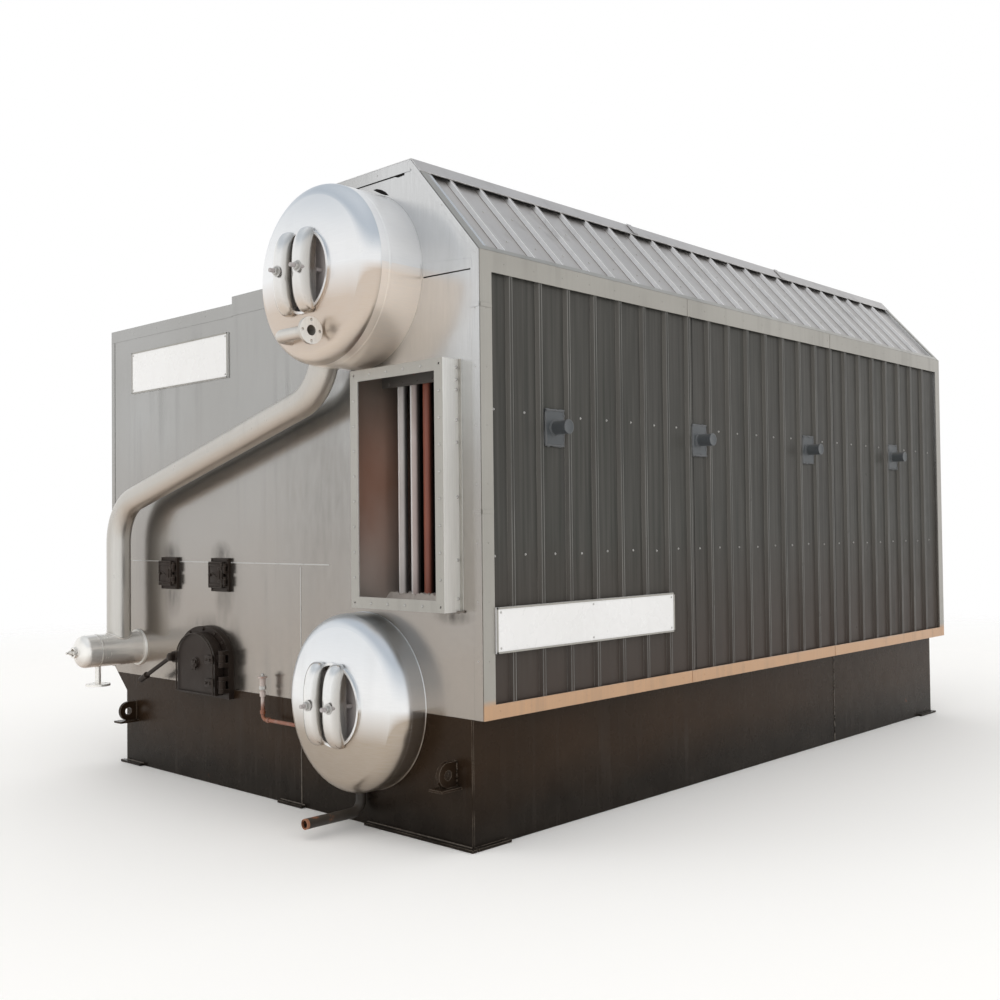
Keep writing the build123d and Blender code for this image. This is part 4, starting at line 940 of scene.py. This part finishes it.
# Yokes: pressed bows with a round crest on a flat back
def yoke_pair(name, node, height, head_out):
    """Two pillow-shaped bows over a manhole, in place of the plain arches."""
    bows = bmesh.new()
    rows, columns = 48, 22
    half_tall, end_rise, rise = 0.218, 0.022, 0.096
    back = head_out - 0.010
    for side in (-1, 1):
        middle = drum_x - 0.032 + side * 0.080
        rings = []
        for row in range(rows + 1):
            share = -math.cos(math.pi * row / rows)
            z = height + half_tall * share
            crest = end_rise + (rise - end_rise) * max(0.0, 1 - abs(share) ** 2.8) ** 0.6
            half = 0.058 * (0.35 + 0.65 * math.sqrt(1 - abs(share) ** 6))
            ring = []
            for column in range(columns):
                angle = math.pi * column / (columns - 1)
                out = back + crest * (0.14 + 0.86 * math.sin(angle) ** 0.75)
                ring.append(bows.verts.new(at(middle - half * math.cos(angle), out, z)))
            ring += [bows.verts.new(at(x, back, z)) for x in (middle + half, middle - half)]
            rings.append(ring)
        stitch(bows, rings)
        close_ends(bows, rings)
    bmesh.ops.recalc_face_normals(bows, faces=bows.faces)
    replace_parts(piece(name, bows, "drum_sheet", bow_finish, sharp=50), node)


yoke_pair("upper_yoke_bows", "upper_yokes", upper_z, 0.405)
yoke_pair("lower_yoke_bows", "lower_yokes", lower_z, 0.230)

# Nuts on the manhole studs
nuts = bmesh.new()
for height, reach in ((upper_z, 0.4965), (lower_z, 0.3215)):
    for side in (-1, 1):
        hex_bolt(nuts, at(drum_x + side * 0.086, reach, height), frontward, 0.021, 0.018, 0.029)
piece("manhole_nuts", nuts, "cover_steel", bright_steel)

# Clamp bar and nut on the header hand hole
clamp = bmesh.new()
slab(clamp, at(header_x - 0.038, 0.477, header_z - 0.011), at(header_x + 0.038, 0.466, header_z + 0.011), 0.003)
hex_bolt(clamp, at(header_x, 0.4765, header_z), frontward, 0.0145, 0.012)
piece("hand_hole_clamp", clamp, "pipe_sheet")

# Ring where the header leaves the wall, and the seam round it
collar = bmesh.new()
for out, profile in (
    (0, [(0.1066, 0), (0.1066, 0.016), (0.119, 0.013), (0.124, 0)]),
    (0.30, [(0.1058, 0), (0.1058, 0.010), (0.1076, 0.009), (0.1076, 0.001)]),
):
    ring_band(collar, at(header_x, out, header_z), frontward, profile, 64)
piece("header_wall_ring", collar, "pipe_sheet")

# Weld saddles of the downcomer on the header and the upper drum
saddle = bmesh.new()
down_way = Vector((0.217, 0, 0.596)).normalized()
cross_way = Vector((down_way.z, 0, -down_way.x))
on_header, on_drum = [], []
for spot in circle(0.080, 48):
    rise = math.sqrt(0.1075**2 - spot.x**2)
    on_header.append(at(header_x + spot.x, downcomer_out + spot.y, header_z + rise))
    back = math.sqrt((drum_radius + 0.0015) ** 2 - spot.x**2)
    on_drum.append(at(drum_x, downcomer_out + spot.y, upper_z) - down_way * back + cross_way * spot.x)
for path in (on_header, on_drum):
    bead(saddle, path, 0.0055, closed=True)
piece("downcomer_welds", saddle, "pipe_sheet")


# Flue outlet
def flue_dressing():
    """Flange bolts, wall fold, liner, lintel, mortar curb and mastic of the flue outlet."""
    low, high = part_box("flue_collar")
    heads = bmesh.new()
    inset, face = 0.028, low[1]
    left, right, bottom, top = low[0] + inset, high[0] - inset, low[2] + inset, high[2] - inset
    for first, last in (
        ((left, bottom), (right, bottom)), ((left, top), (right, top)),
        ((left, bottom), (left, top)), ((right, bottom), (right, top)),
    ):
        first, last = (first[0], face, first[1]), (last[0], face, last[1])
        rivet_row(heads, first, last, 0.13, frontward, 0.0075, 0.005, ends=False)
    cheeks = ((high[0], 1), (low[0], -1))
    for z in (2.36, 2.30, 2.25, 2.10, 1.99, 1.72, 1.41, 1.22):
        for x, way in cheeks:
            dome(heads, (x, wall_y - 0.016, z), (way, 0, 0), 0.0085, 0.006)
    piece("flue_flange_bolts", heads, "trim_sheet", bright_steel)

    fold = bmesh.new()
    for x, way in cheeks:
        slab(fold, (x, wall_y - 0.003, low[2]), (x + way * 0.022, wall_y, high[2]), 0.0008)
    piece("flue_wall_fold", fold, "trim_sheet", collar_finish)

    wall = 0.010
    left, right, bottom, top = low[0] + wall, high[0] - wall, low[2] + wall, high[2] - wall
    liner = bmesh.new()
    slab(liner, (left - 0.001, wall_y - 0.104, bottom), (left + 0.003, along(0.50), top), 0.001)
    piece("flue_left_liner", liner, "red_oxide", flue_liner_finish)
    lintel = bmesh.new()
    face = along(0.100)
    slab(lintel, (left + 0.002, face, top - 0.066), (right, face + 0.018, top), 0.003)
    row_z = top - 0.05
    rivet_row(lintel, (left + 0.06, face, row_z), (right - 0.06, face, row_z), 0.11, frontward, 0.008, 0.006)
    piece("flue_lintel", lintel, "hearth_steel")

    curb = bmesh.new()
    columns, rows = 60, 10
    grid = []
    for row in range(rows + 1):
        line = []
        edge = min(1.0, 5 * min(row, rows - row) / rows)
        for column in range(columns + 1):
            rise = 0.006 + 0.064 * edge * chance.uniform(0.70, 1.0)
            x = left + 0.003 + (right - left - 0.006) * column / columns
            y = along(0.105) + 0.150 * row / rows + chance.uniform(-0.004, 0.004)
            line.append(curb.verts.new((x, y, bottom - 0.004 + rise)))
        grid.append(line)
    for near, far in zip(grid, grid[1:]):
        for column in range(columns):
            curb.faces.new((near[column], near[column + 1], far[column + 1], far[column]))
    piece("flue_curb", curb, "trim_sheet", curb_mortar, sharp=60)

    mastic = bmesh.new()
    x, z = high[0], low[2]
    path = run_of((x - 0.16, wall_y - 0.030, z - 0.001), (x + 0.002, wall_y - 0.030, z - 0.001), 0.008)
    path += run_of((x + 0.004, wall_y - 0.024, z), (x + 0.030, wall_y - 0.004, z + 0.003), 0.008)
    bead(mastic, path, 0.0045, 8, wobble=0.7)
    piece("collar_mastic", mastic, "trim_sheet", grey_mastic)


flue_dressing()


# Fire door
def fire_dressing():
    """Rim, air plate, hinge straps and lining of the fire-door leaf, bolts of its frame, ends of its lever."""
    low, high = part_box("fire_door")
    face = low[1] + 0.010
    half, tall, rise, inset = 0.210, 0.372, 0.170, 0.005
    rim = bmesh.new()
    left, right = leaf_x - half + inset, leaf_x + half - inset
    foot, spring = leaf_low + inset, leaf_low + tall - rise
    points = run_of((left, face, foot), (left, face, spring), 0.03)
    points += arch(leaf_x, face, spring, half - inset, rise - inset, 40)[-2:0:-1]
    points += run_of((right, face, spring), (right, face, foot), 0.03)
    for path in (points, run_of((left, face, foot), (right, face, foot), 0.03)):
        bead(rim, path, 0.0045, sides=8, wobble=0.04)
    centre = Vector((leaf_x, face, leaf_low + tall * 0.47))
    star = []
    for step in range(12):
        angle = math.pi * step / 6
        size = 0.036 if step % 2 == 0 else 0.021
        star.append(centre + Vector((size * math.cos(angle), 0.001, size * math.sin(angle))))
    prism(rim, star, (0, -0.007, 0))
    hex_bolt(rim, centre + Vector((0, -0.006, 0)), frontward, 0.013, 0.003)
    edge = leaf_x + half
    for z in (0.645, 0.785):
        slab(rim, (edge - 0.085, face - 0.006, z - 0.026), (edge - 0.004, face + 0.001, z + 0.026), 0.002)
        for place in (0.070, 0.030):
            hex_bolt(rim, (edge - place, face - 0.006, z), frontward, 0.010, 0.007)
    piece("fire_leaf_relief", rim, "casting", body="fire_door")

    lining = bmesh.new()
    back, thick = high[1] - 0.002, 0.026
    plug_half, plug_low = 0.128, 0.660
    outline = [Vector((fire_x - plug_half, back, plug_low)), Vector((fire_x + plug_half, back, plug_low))]
    prism(lining, outline + arch(fire_x, back, 0.762, plug_half, 0.095, 24), (0, thick, 0))
    for x, z in ((-0.085, 0.690), (0.085, 0.690), (-0.070, 0.790), (0.070, 0.790)):
        hex_bolt(lining, (fire_x + x, back + thick, z), rearward, 0.010, 0.006)
    piece("fire_leaf_lining", lining, "casting", door_brick, "fire_door")

    frame_bolts = bmesh.new()
    spots = [(-0.845, 0.60), (-0.845, 0.70)]
    for angle in map(math.radians, (35, 60, 90, 125, 152)):
        spots.append((fire_x + 0.262 * math.cos(angle), 0.785 + 0.1725 * math.sin(angle)))
    for x, z in spots:
        hex_bolt(frame_bolts, at(x, fire_frame_depth, z), frontward, 0.010, 0.008)
    piece("fire_frame_bolts", frame_bolts, "casting")

    ends = bmesh.new()
    grip_low, grip_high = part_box("fire_door_latch")
    fall = math.radians(25)
    way = Vector((-math.cos(fall), 0, -math.sin(fall)))
    tip = Vector((lever_x, (grip_low[1] + grip_high[1]) / 2, lever_z)) + way * 0.410
    hub = Vector((lever_x, grip_low[1] + 0.0035, lever_z))
    for place, normal, profile, sides in (
        (tip - way * 0.002, way, [(0.019, 0), (0.019, 0.004), (0.014, 0.010), (0, 0.013)], 20),
        (tip - way * 0.086, way, [(0.013, 0), (0.022, 0.002), (0.022, 0.007), (0.0185, 0.009)], 20),
        (hub, frontward, [(0.020, 0), (0.020, 0.004), (0.016, 0.007), (0, 0.008)], 24),
    ):
        lathe(ends, place, normal, profile, sides)
    piece("latch_grip_ends", ends, "casting", body="fire_latch")


fire_dressing()


def peep_dressing(mark):
    """Raised panel, rims, hinge straps, knob and screws of a peep door."""
    low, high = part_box("peep_door_" + mark)
    middle, z = low[0] + 0.075, (low[2] + high[2]) / 2
    face = low[1] + 0.014
    panel = bmesh.new()

    def raised(left, right, bottom, top, depth):
        """A flat raised block on the leaf."""
        slab(panel, (middle + left, face - depth, bottom), (middle + right, face + 0.001, top), 0.0015)

    raised(-0.050, 0.050, z - 0.046, z + 0.046, 0.004)
    rim = [
        Vector((middle + 0.070 * over, face, z + 0.075 * rise)) for over, rise in ((-1, -1), (1, -1), (1, 1), (-1, 1))
    ]
    for first, last in zip(rim, rim[1:] + rim[:1]):
        bead(panel, run_of(first, last, 0.02), 0.0045, sides=8, wobble=0.03)
    for height in (z - 0.060, z + 0.060):
        raised(-0.066, 0.066, height - 0.006, height + 0.006, 0.005)
    bar = [Vector((middle - 0.030, face - 0.006, z + 0.012)), Vector((middle + 0.018, face - 0.006, z - 0.010))]
    bead(panel, bar, 0.0045, 8)
    knob = [(0.0082, -0.008), (0.011, -0.006), (0.011, -0.001), (0.008, 0.0015), (0, 0.002)]
    lathe(panel, (low[0] + 0.024, low[1] + 0.002, z), frontward, knob, 20)
    for share in (0.25, 0.75):
        height = low[2] + share * (high[2] - low[2])
        raised(0.030, 0.074, height - 0.011, height + 0.011, 0.0045)
        dome(panel, (middle + 0.042, face - 0.0045, height), frontward, 0.005, 0.003, 10)
    piece("peep_relief_" + mark, panel, "casting", body="peep_door_" + mark)
    corners = bmesh.new()
    low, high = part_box("peep_frame_" + mark)
    for x in (low[0] + 0.013, high[0] - 0.012):
        for height in (low[2] + 0.012, high[2] - 0.012):
            dome(corners, at(x, peep_frame_depth, height), frontward, 0.007, 0.005)
    piece("peep_frame_screws_" + mark, corners, "casting")


peep_dressing("a")
peep_dressing("b")

# Small pipes: couplings, valve bonnet, cut end
fittings, bonnet = bmesh.new(), bmesh.new()
valve_x, valve_out, branch_z, bore = 0.070, 0.060, 0.470, 0.0115
for x, z, way, radius, length, sides in (
    (valve_x, 0.600, up, 0.017, 0.032, 6),
    (valve_x, 0.500, up, 0.0155, 0.024, 20),
    (0.112, branch_z, rightward, 0.0155, 0.024, 20),
    (0.40, branch_z, rightward, 0.017, 0.028, 6),
):
    sleeve = [(bore, 0), (radius, 0.002), (radius, length - 0.002), (bore, length)]
    lathe(fittings, at(x, valve_out, z), way, sleeve, sides)
piece("sample_pipe_couplings", fittings, "copper_pipe")
nut = [(0.0175, 0), (0.021, 0.004), (0.021, 0.020), (0.0175, 0.024)]
lathe(bonnet, at(valve_x, valve_out, 0.640), up, nut, 6)
button = [(0.026, 0), (0.010, 0.001), (0.010, 0.012), (0.006, 0.016), (0, 0.016)]
lathe(bonnet, at(valve_x, valve_out, 0.720), up, button, 20)
piece("sample_valve_bonnet", bonnet, "copper_pipe", bright_steel)
cut = bmesh.new()
lip = [(0.0275, 0), (0.0272, 0.0155), (0.021, 0.0155), (0.0205, 0.004)]
ring_band(cut, at(drum_x, 0.395, 0.07585), frontward, lip, 32)
piece("blowdown_cut_end", cut, "black_pipe", rusty_end)

# Steel base: weld seams of plates and feet, lug welds
welds, lug_beads = bmesh.new(), bmesh.new()
base_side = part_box("base_right")[1][0] - 0.030
rear_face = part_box("base_rear")[1][1] - 0.135
weld_line(welds, at(base_seam_x, 0, 0.016), at(base_seam_x, 0, 0.598))
weld_line(welds, (base_side, along(3.72), 0.002), (base_side, along(3.72), 0.633))
weld_line(welds, (base_seam_x, rear_face, 0.016), (base_seam_x, rear_face, 0.633))
for y in (wall_y - 0.002, rear_face + 0.002):
    for x in (lug + side * 0.014 for lug in lug_places for side in (-1, 1)):
        weld_line(lug_beads, (x, y, 0.300), (x, y, 0.423), 0.005, 0.010)
    for first, last in ((-1.600, -1.380), (0.165, 0.390), (0.937, 1.715)):
        weld_line(welds, (first, y, 0.015), (last, y, 0.015), 0.004)
piece("base_welds", welds, "base_steel", scuffed_weld)
piece("lug_welds", lug_beads, "base_steel")


# Side walls
def side_dressing(side, top, name):
    """Screws in the pans, rivets in the trims, painted highlight strips on the rib edges, sheet laps and their gaps
    of one side wall.
    """
    screws, rivets, laps, shine, gaps = (bmesh.new() for _ in range(5))
    way = (side, 0, 0)
    skin = half_width + 0.006

    def plate(mesh, inner, outer, first_y, last_y, low, high):
        """A thin upright plate on the wall."""
        slab(mesh, (side * inner, first_y, low), (side * outer, last_y, high))

    def rivet(y, z):
        """A rivet in the trim."""
        dome(rivets, (side * skin, y, z), way, 0.0042, 0.0020, 10)

    for rib in range(rib_count):
        middle = along(rib_pitch * (rib + 0.5))
        for height, clears_ports in ((2.150, False), (1.429, True)):
            if not clears_ports and any(abs(middle - row) < 0.05 for row in port_rows):
                continue
            drift = chance.uniform(-0.006, 0.006)
            place = (side * pan_x, middle + drift, height + chance.uniform(-0.004, 0.004))
            lathe(screws, place, way, [(0.0062, 0), (0.0062, 0.0012), (0.0040, 0.0016)], 14)
            lathe(screws, place, way, [(0.0040, 0.001), (0.0040, 0.0044), (0.0034, 0.0054), (0, 0.0056)], 6)
        rivet(middle, casing_bottom + 0.036)
        rivet(middle + 0.06, top - 0.052)
    for step in range(1, 8):
        for y in (along(0.040), along(5.460)):
            rivet(y, casing_bottom + (top - casing_bottom) * step / 8)
    for joint in map(along, sheet_joints):
        plate(laps, pan_x, pan_x + 0.0016, joint + 0.022, joint + 0.057, casing_bottom + 0.06, top - 0.09)
        plate(gaps, pan_x - 0.001, pan_x + 0.0008, joint + 0.0565, joint + 0.0635, casing_bottom + 0.06, top - 0.09)
        for low, high in ((casing_bottom + 0.001, casing_bottom + 0.071), (top - 0.103, top - 0.001)):
            plate(rivets, skin, skin + 0.0018, joint - 0.02, joint + 0.02, low, high)
    for z in trim_joints:
        plate(rivets, skin, skin + 0.0025, along(0.001), along(0.078), z, z + 0.022)
    # painted highlight strips on the rib edges
    for rib in range(1, rib_count):
        for edge in (-0.0112, 0.0072):
            y = along(rib_pitch * rib) + edge
            plate(shine, half_width - 0.0005, half_width + 0.0006, y, y + 0.004, casing_bottom + 0.07, top - 0.10)
    piece(name + "_rib_lines", shine, "side_sheet", rib_shine)
    piece(name + "_joint_gaps", gaps, "side_sheet", dark_gap_and_shadow)
    piece(name + "_pan_screws", screws, "side_sheet", bright_steel)
    piece(name + "_trim_rivets", rivets, "trim_sheet")
    piece(name + "_sheet_laps", laps, "side_sheet")


side_dressing(1, eave_z, "painted_right_light")
side_dressing(-1, low_roof_z, "left_side")


# Ports
def port_dressing():
    """Weld rings, sealant and end caps of the stub ports."""
    rings, seal = bmesh.new(), bmesh.new()
    half_wide, half_tall = 0.072, 0.091
    cap = [(0.0365, -0.016), (0.0375, -0.015), (0.0375, 0.001), (0.033, 0.0025), (0.030, 0.0012), (0, 0.0012)]
    for side in (-1, 1):
        for y in port_rows:
            axis = Vector((side, 0, 0))
            face = Vector((side * (pan_x + 0.012), y, port_z))
            ring_band(rings, face, axis, [(0.0355, 0), (0.0355, 0.007), (0.0385, 0.005), (0.043, 0)], 40)
            lathe(rings, (side * (pan_x + 0.1075), y, port_z), axis, cap, 40)
            corners = [
                face + Vector((-side * 0.004, over * half_wide, rise * half_tall))
                for over, rise in ((-1, -1), (1, -1), (1, 1), (-1, 1))
            ]
            path = []
            for first, last in zip(corners, corners[1:] + corners[:1]):
                path += run_of(first, last, 0.012)[:-1]
            bead(seal, path, 0.0075, 7, closed=True, wobble=0.5)
    piece("port_fittings", rings, "port_steel")
    piece("port_sealant", seal, "port_steel", grey_seal)


port_dressing()


# Frames of the bare sign and nameplate
def plate_frame(name, corners, out, width, depth, screws):
    """A slim frame round a bare panel, with screws; the corners run round from the lower left."""
    rails, heads = bmesh.new(), bmesh.new()
    out = Vector(out)
    corners = [Vector(corner) for corner in corners]
    for place in range(4):
        first, last = corners[place], corners[(place + 1) % 4]
        strip(rails, first, last, (corners[place - 1] - first).normalized() * width, out * depth)
    piece(name, rails, "trim_sheet")
    for place in screws:
        dome(heads, place, out, 0.006, 0.004, 10)
    piece(name + "_screws", heads, "trim_sheet", bright_steel)


low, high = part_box("side_sign")
face = high[0]
plate_frame(
    "sign_edge",
    [(face, low[1], low[2]), (face, high[1], low[2]), (face, high[1], high[2]), (face, low[1], high[2])],
    rightward, 0.009, 0.003,
    [
        (face, y, z)
        for y in (low[1] + 0.03, (low[1] + high[1]) / 2, high[1] - 0.03)
        for z in (low[2] + 0.025, high[2] - 0.025)
    ],
)
low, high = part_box("nameplate")
face = low[1]
plate_frame(
    "nameplate_edge",
    [(low[0], face, low[2]), (high[0], face, low[2]), (high[0], face, high[2]), (low[0], face, high[2])],
    frontward, 0.008, 0.0025,
    [(x, face, z) for x in (low[0] + 0.022, high[0] - 0.022) for z in (low[2] + 0.022, high[2] - 0.022)],
)


# Roof
def roof_dressing():
    """Eave flashing over the rib ends, painted shadow under the ridge cap, ridge laps, painted highlight strips on
    the rib edges, painted shade strips at the rib feet, slope screws and low roof laps.
    """
    flash, gap, cap, heads, bright, shade_strips, laps = (bmesh.new() for _ in range(7))
    length = rear_y - wall_y
    foot = Vector((half_width, wall_y, eave_z))
    eave_wide, lift = 0.034, slope_out * 0.0015
    sheet = slope_out * 0.0025
    top = foot + slope_way * eave_wide + lift
    strip(flash, foot + lift, top, (0, length, 0), sheet)
    end_wide = 0.050
    for distance in (0.0, length - end_wide):
        first = top + Vector((0, distance, 0))
        strip(flash, first, first + slope_way * 0.596, (0, end_wide, 0), sheet)
    piece("eave_flashing", flash, "trim_sheet")
    # painted shadow: a dark strip on the slope under the lip of the ridge cap
    lip = Vector((ridge_x, along(0.055), ridge_z)) - slope_way * 0.100 - slope_out * 0.004
    strip(gap, lip, lip + Vector((0, length - 0.11, 0)), slope_way * -0.010, slope_out * 0.0035)
    piece("ridge_shadow_gap", gap, "roof_sheet", dark_gap_and_shadow)

    for distance in (1.83, 3.66):
        first = Vector((ridge_x + 0.004, along(distance), ridge_z + 0.006)) + slope_out * 0.003
        strip(cap, first, first + Vector((0, 0.05, 0)), slope_way * -0.098, slope_out * 0.002)
    lap_rows = [along(roof_lap_pitch * place) for place in range(1, 6)]
    lap_top = cap_top + 0.002
    for y in lap_rows:
        slab(cap, (left_ridge_x + 0.006, y, cap_top - 0.001), (ridge_x - 0.006, y + 0.045, lap_top), 0.0006)
        middle = y + 0.0225
        first, last = (left_ridge_x + 0.05, middle, lap_top), (ridge_x - 0.05, middle, lap_top)
        rivet_row(cap, first, last, 0.17, up, 0.006, 0.0012, 10)
    piece("ridge_laps", cap, "roof_sheet")

    left_foot = Vector((left_foot_x, wall_y, step_z))
    left_rise = Vector((left_ridge_x - left_foot_x, 0, ridge_z - step_z))
    left_way = left_rise.normalized()
    left_out = Vector((-left_way.z, 0, left_way.x))
    right_long = math.hypot(ridge_x - half_width, ridge_z - eave_z)
    for start_at, way, out, long, screw_rows in (
        (foot, slope_way, slope_out, right_long, (0.17, 0.42)),
        (left_foot, left_way, left_out, left_rise.length, (0.10, 0.40)),
    ):
        for rib in range(1, rib_count):
            # painted highlight strips on the rib edges and painted shade strips at the rib feet
            for mesh, edge, wide, sink in ((bright, -0.0112, 0.005, 0.0), (shade_strips, -0.0285, 0.0065, rib_height)):
                first = start_at + way * 0.037 - out * (sink + 0.0004)
                first.y = along(rib_pitch * rib) + edge
                strip(mesh, first, first + way * (long - 0.139), (0, wide, 0), out * 0.001)
        for rib in range(rib_count):
            for rise in screw_rows:
                place = start_at + way * rise - out * rib_height
                place.y = along(rib_pitch * (rib + 0.5))
                dome(heads, place, out, 0.007, 0.005, 10)
    piece("roof_rib_lines", bright, "roof_sheet", roof_shine)
    piece("roof_rib_foot_shade_lines", shade_strips, "roof_sheet", roof_foot_shade_coat)
    piece("roof_screws", heads, "roof_sheet", bright_steel)

    wide = step_x + half_width
    for y in lap_rows:
        first, last = (-half_width, y, low_roof_z), (step_x, y, low_roof_z - low_roof_fall)
        strip(laps, first, last, (0, 0.05, 0), (0, 0, 0.003))
        for point in run_of((-half_width + 0.05, y + 0.025, 0), (step_x - 0.05, y + 0.025, 0), 0.3):
            point.z = low_roof_z - low_roof_fall * (point.x + half_width) / wide + 0.003
            dome(laps, point, up, 0.006, 0.004, 10)
    piece("low_roof_laps", laps, "wall_sheet")


roof_dressing()


# Stage, light and camera
def stage():
    """Pale floor that fades out far away, a pale surround and soft lamps."""
    mesh = bmesh.new()
    lathe(mesh, (0, 0, -0.002), up, [(radius, 0.0) for radius in (16.0, 12.0, 8.0, 4.0, 0.0)], 96)
    data = bpy.data.meshes.new("floor")
    mesh.to_mesh(data)
    mesh.free()
    floor = bpy.data.objects.new("floor", data)
    bpy.context.scene.collection.objects.link(floor)
    material, tree, shader = start("pale_floor")
    tone = use(tree, clouds, Scale=0.35, Detail=5.0, Contrast=0.8)[0]
    distance = vector_calc(tree, "LENGTH", surface(tree, "Position"))["Value"]
    feed(tree, shader, {
        "Base Color": blend(tree, tone, rgb(0.93, 0.925, 0.915), rgb(0.95, 0.945, 0.935)),
        "Alpha": spread(tree, distance, 7.5, 13.5, 1.0, 0.0),
        "Roughness": 0.9,
        "Specular IOR Level": 0.1,
    })
    data.materials.append(material)

    world = bpy.data.worlds.new("studio")
    bpy.context.scene.world = world
    world.use_nodes = True
    tree = world.node_tree
    height = parts(tree, put(tree, "TexCoord").outputs["Generated"])["Z"]
    middle = blend(tree, spread(tree, height, 0.42, 0.62), rgb(1.0, 1.0, 1.0), rgb(0.60, 0.645, 0.70))
    dome_tone = blend(tree, spread(tree, height, 0.75, 1.0), middle, rgb(0.74, 0.77, 0.81))
    sky = tree.nodes["Background"]
    feed(tree, sky, {"Color": rgb(1.0, 0.995, 0.985), "Strength": 1.0})
    clear = put(tree, "Background", {"Color": dome_tone, "Strength": 1.0})
    ray = put(tree, "LightPath").outputs
    seen = calc(tree, "ADD", ray["Is Camera Ray"], ray["Is Glossy Ray"])
    seen = calc(tree, "ADD", seen, ray["Is Transmission Ray"], clamp=True)
    mixed = put(tree, "MixShader", {0: seen, 1: sky.outputs[0], 2: clear.outputs[0]})
    feed(tree, tree.nodes["World Output"], {"Surface": mixed.outputs[0]})

    def lamp(name, place, aim, width, depth, power, colour):
        """A soft lamp that lights but shows in no reflection."""
        light = bpy.data.lights.new(name, "AREA")
        light.shape = "RECTANGLE"
        light.size, light.size_y = width, depth
        light.energy = power
        light.color = colour
        obj = bpy.data.objects.new(name, light)
        obj.location = place
        obj.rotation_euler = (Vector(aim) - Vector(place)).to_track_quat("-Z", "Y").to_euler()
        obj.visible_glossy = False
        bpy.context.scene.collection.objects.link(obj)

    lamp("overhead", (0.5, -1.0, 9.0), (0.2, -0.2, 0), 7.0, 7.0, 120, (1.0, 0.99, 0.975))
    lamp("front_left", (-6.0, -10.0, 5.0), (-0.2, -2.6, 1.6), 4.0, 3.0, 70, (1.0, 0.985, 0.96))
    lamp("right", (9.5, 0.0, 6.0), (1.5, 0, 1.6), 4.0, 4.0, 60, (0.98, 0.99, 1.0))


stage()


def photo_camera():
    """The camera at the photograph's place and angle."""
    yaw, pitch, roll = math.radians(43.24), math.radians(1.404), math.radians(-0.614)
    ahead = Vector((-math.sin(yaw) * math.cos(pitch), math.cos(yaw) * math.cos(pitch), math.sin(pitch)))
    level_right = ahead.cross(Vector(up)).normalized()
    level_up = level_right.cross(ahead)
    right = math.cos(roll) * level_right + math.sin(roll) * level_up
    top = -math.sin(roll) * level_right + math.cos(roll) * level_up
    data = bpy.data.cameras.new("photo_camera")
    data.sensor_fit = "HORIZONTAL"
    data.sensor_width = 36.0
    data.lens = 36.0 * 1140.9 / 1000.0
    data.clip_end = 300.0
    camera = bpy.data.objects.new("photo_camera", data)
    turn = Matrix((right, top, -ahead)).transposed().to_4x4()
    camera.matrix_world = Matrix.Translation((5.643, wall_y - 3.956, 1.566)) @ turn
    bpy.context.scene.collection.objects.link(camera)
    bpy.context.scene.camera = camera


photo_camera()
bpy.context.scene.view_settings.view_transform = "Standard"
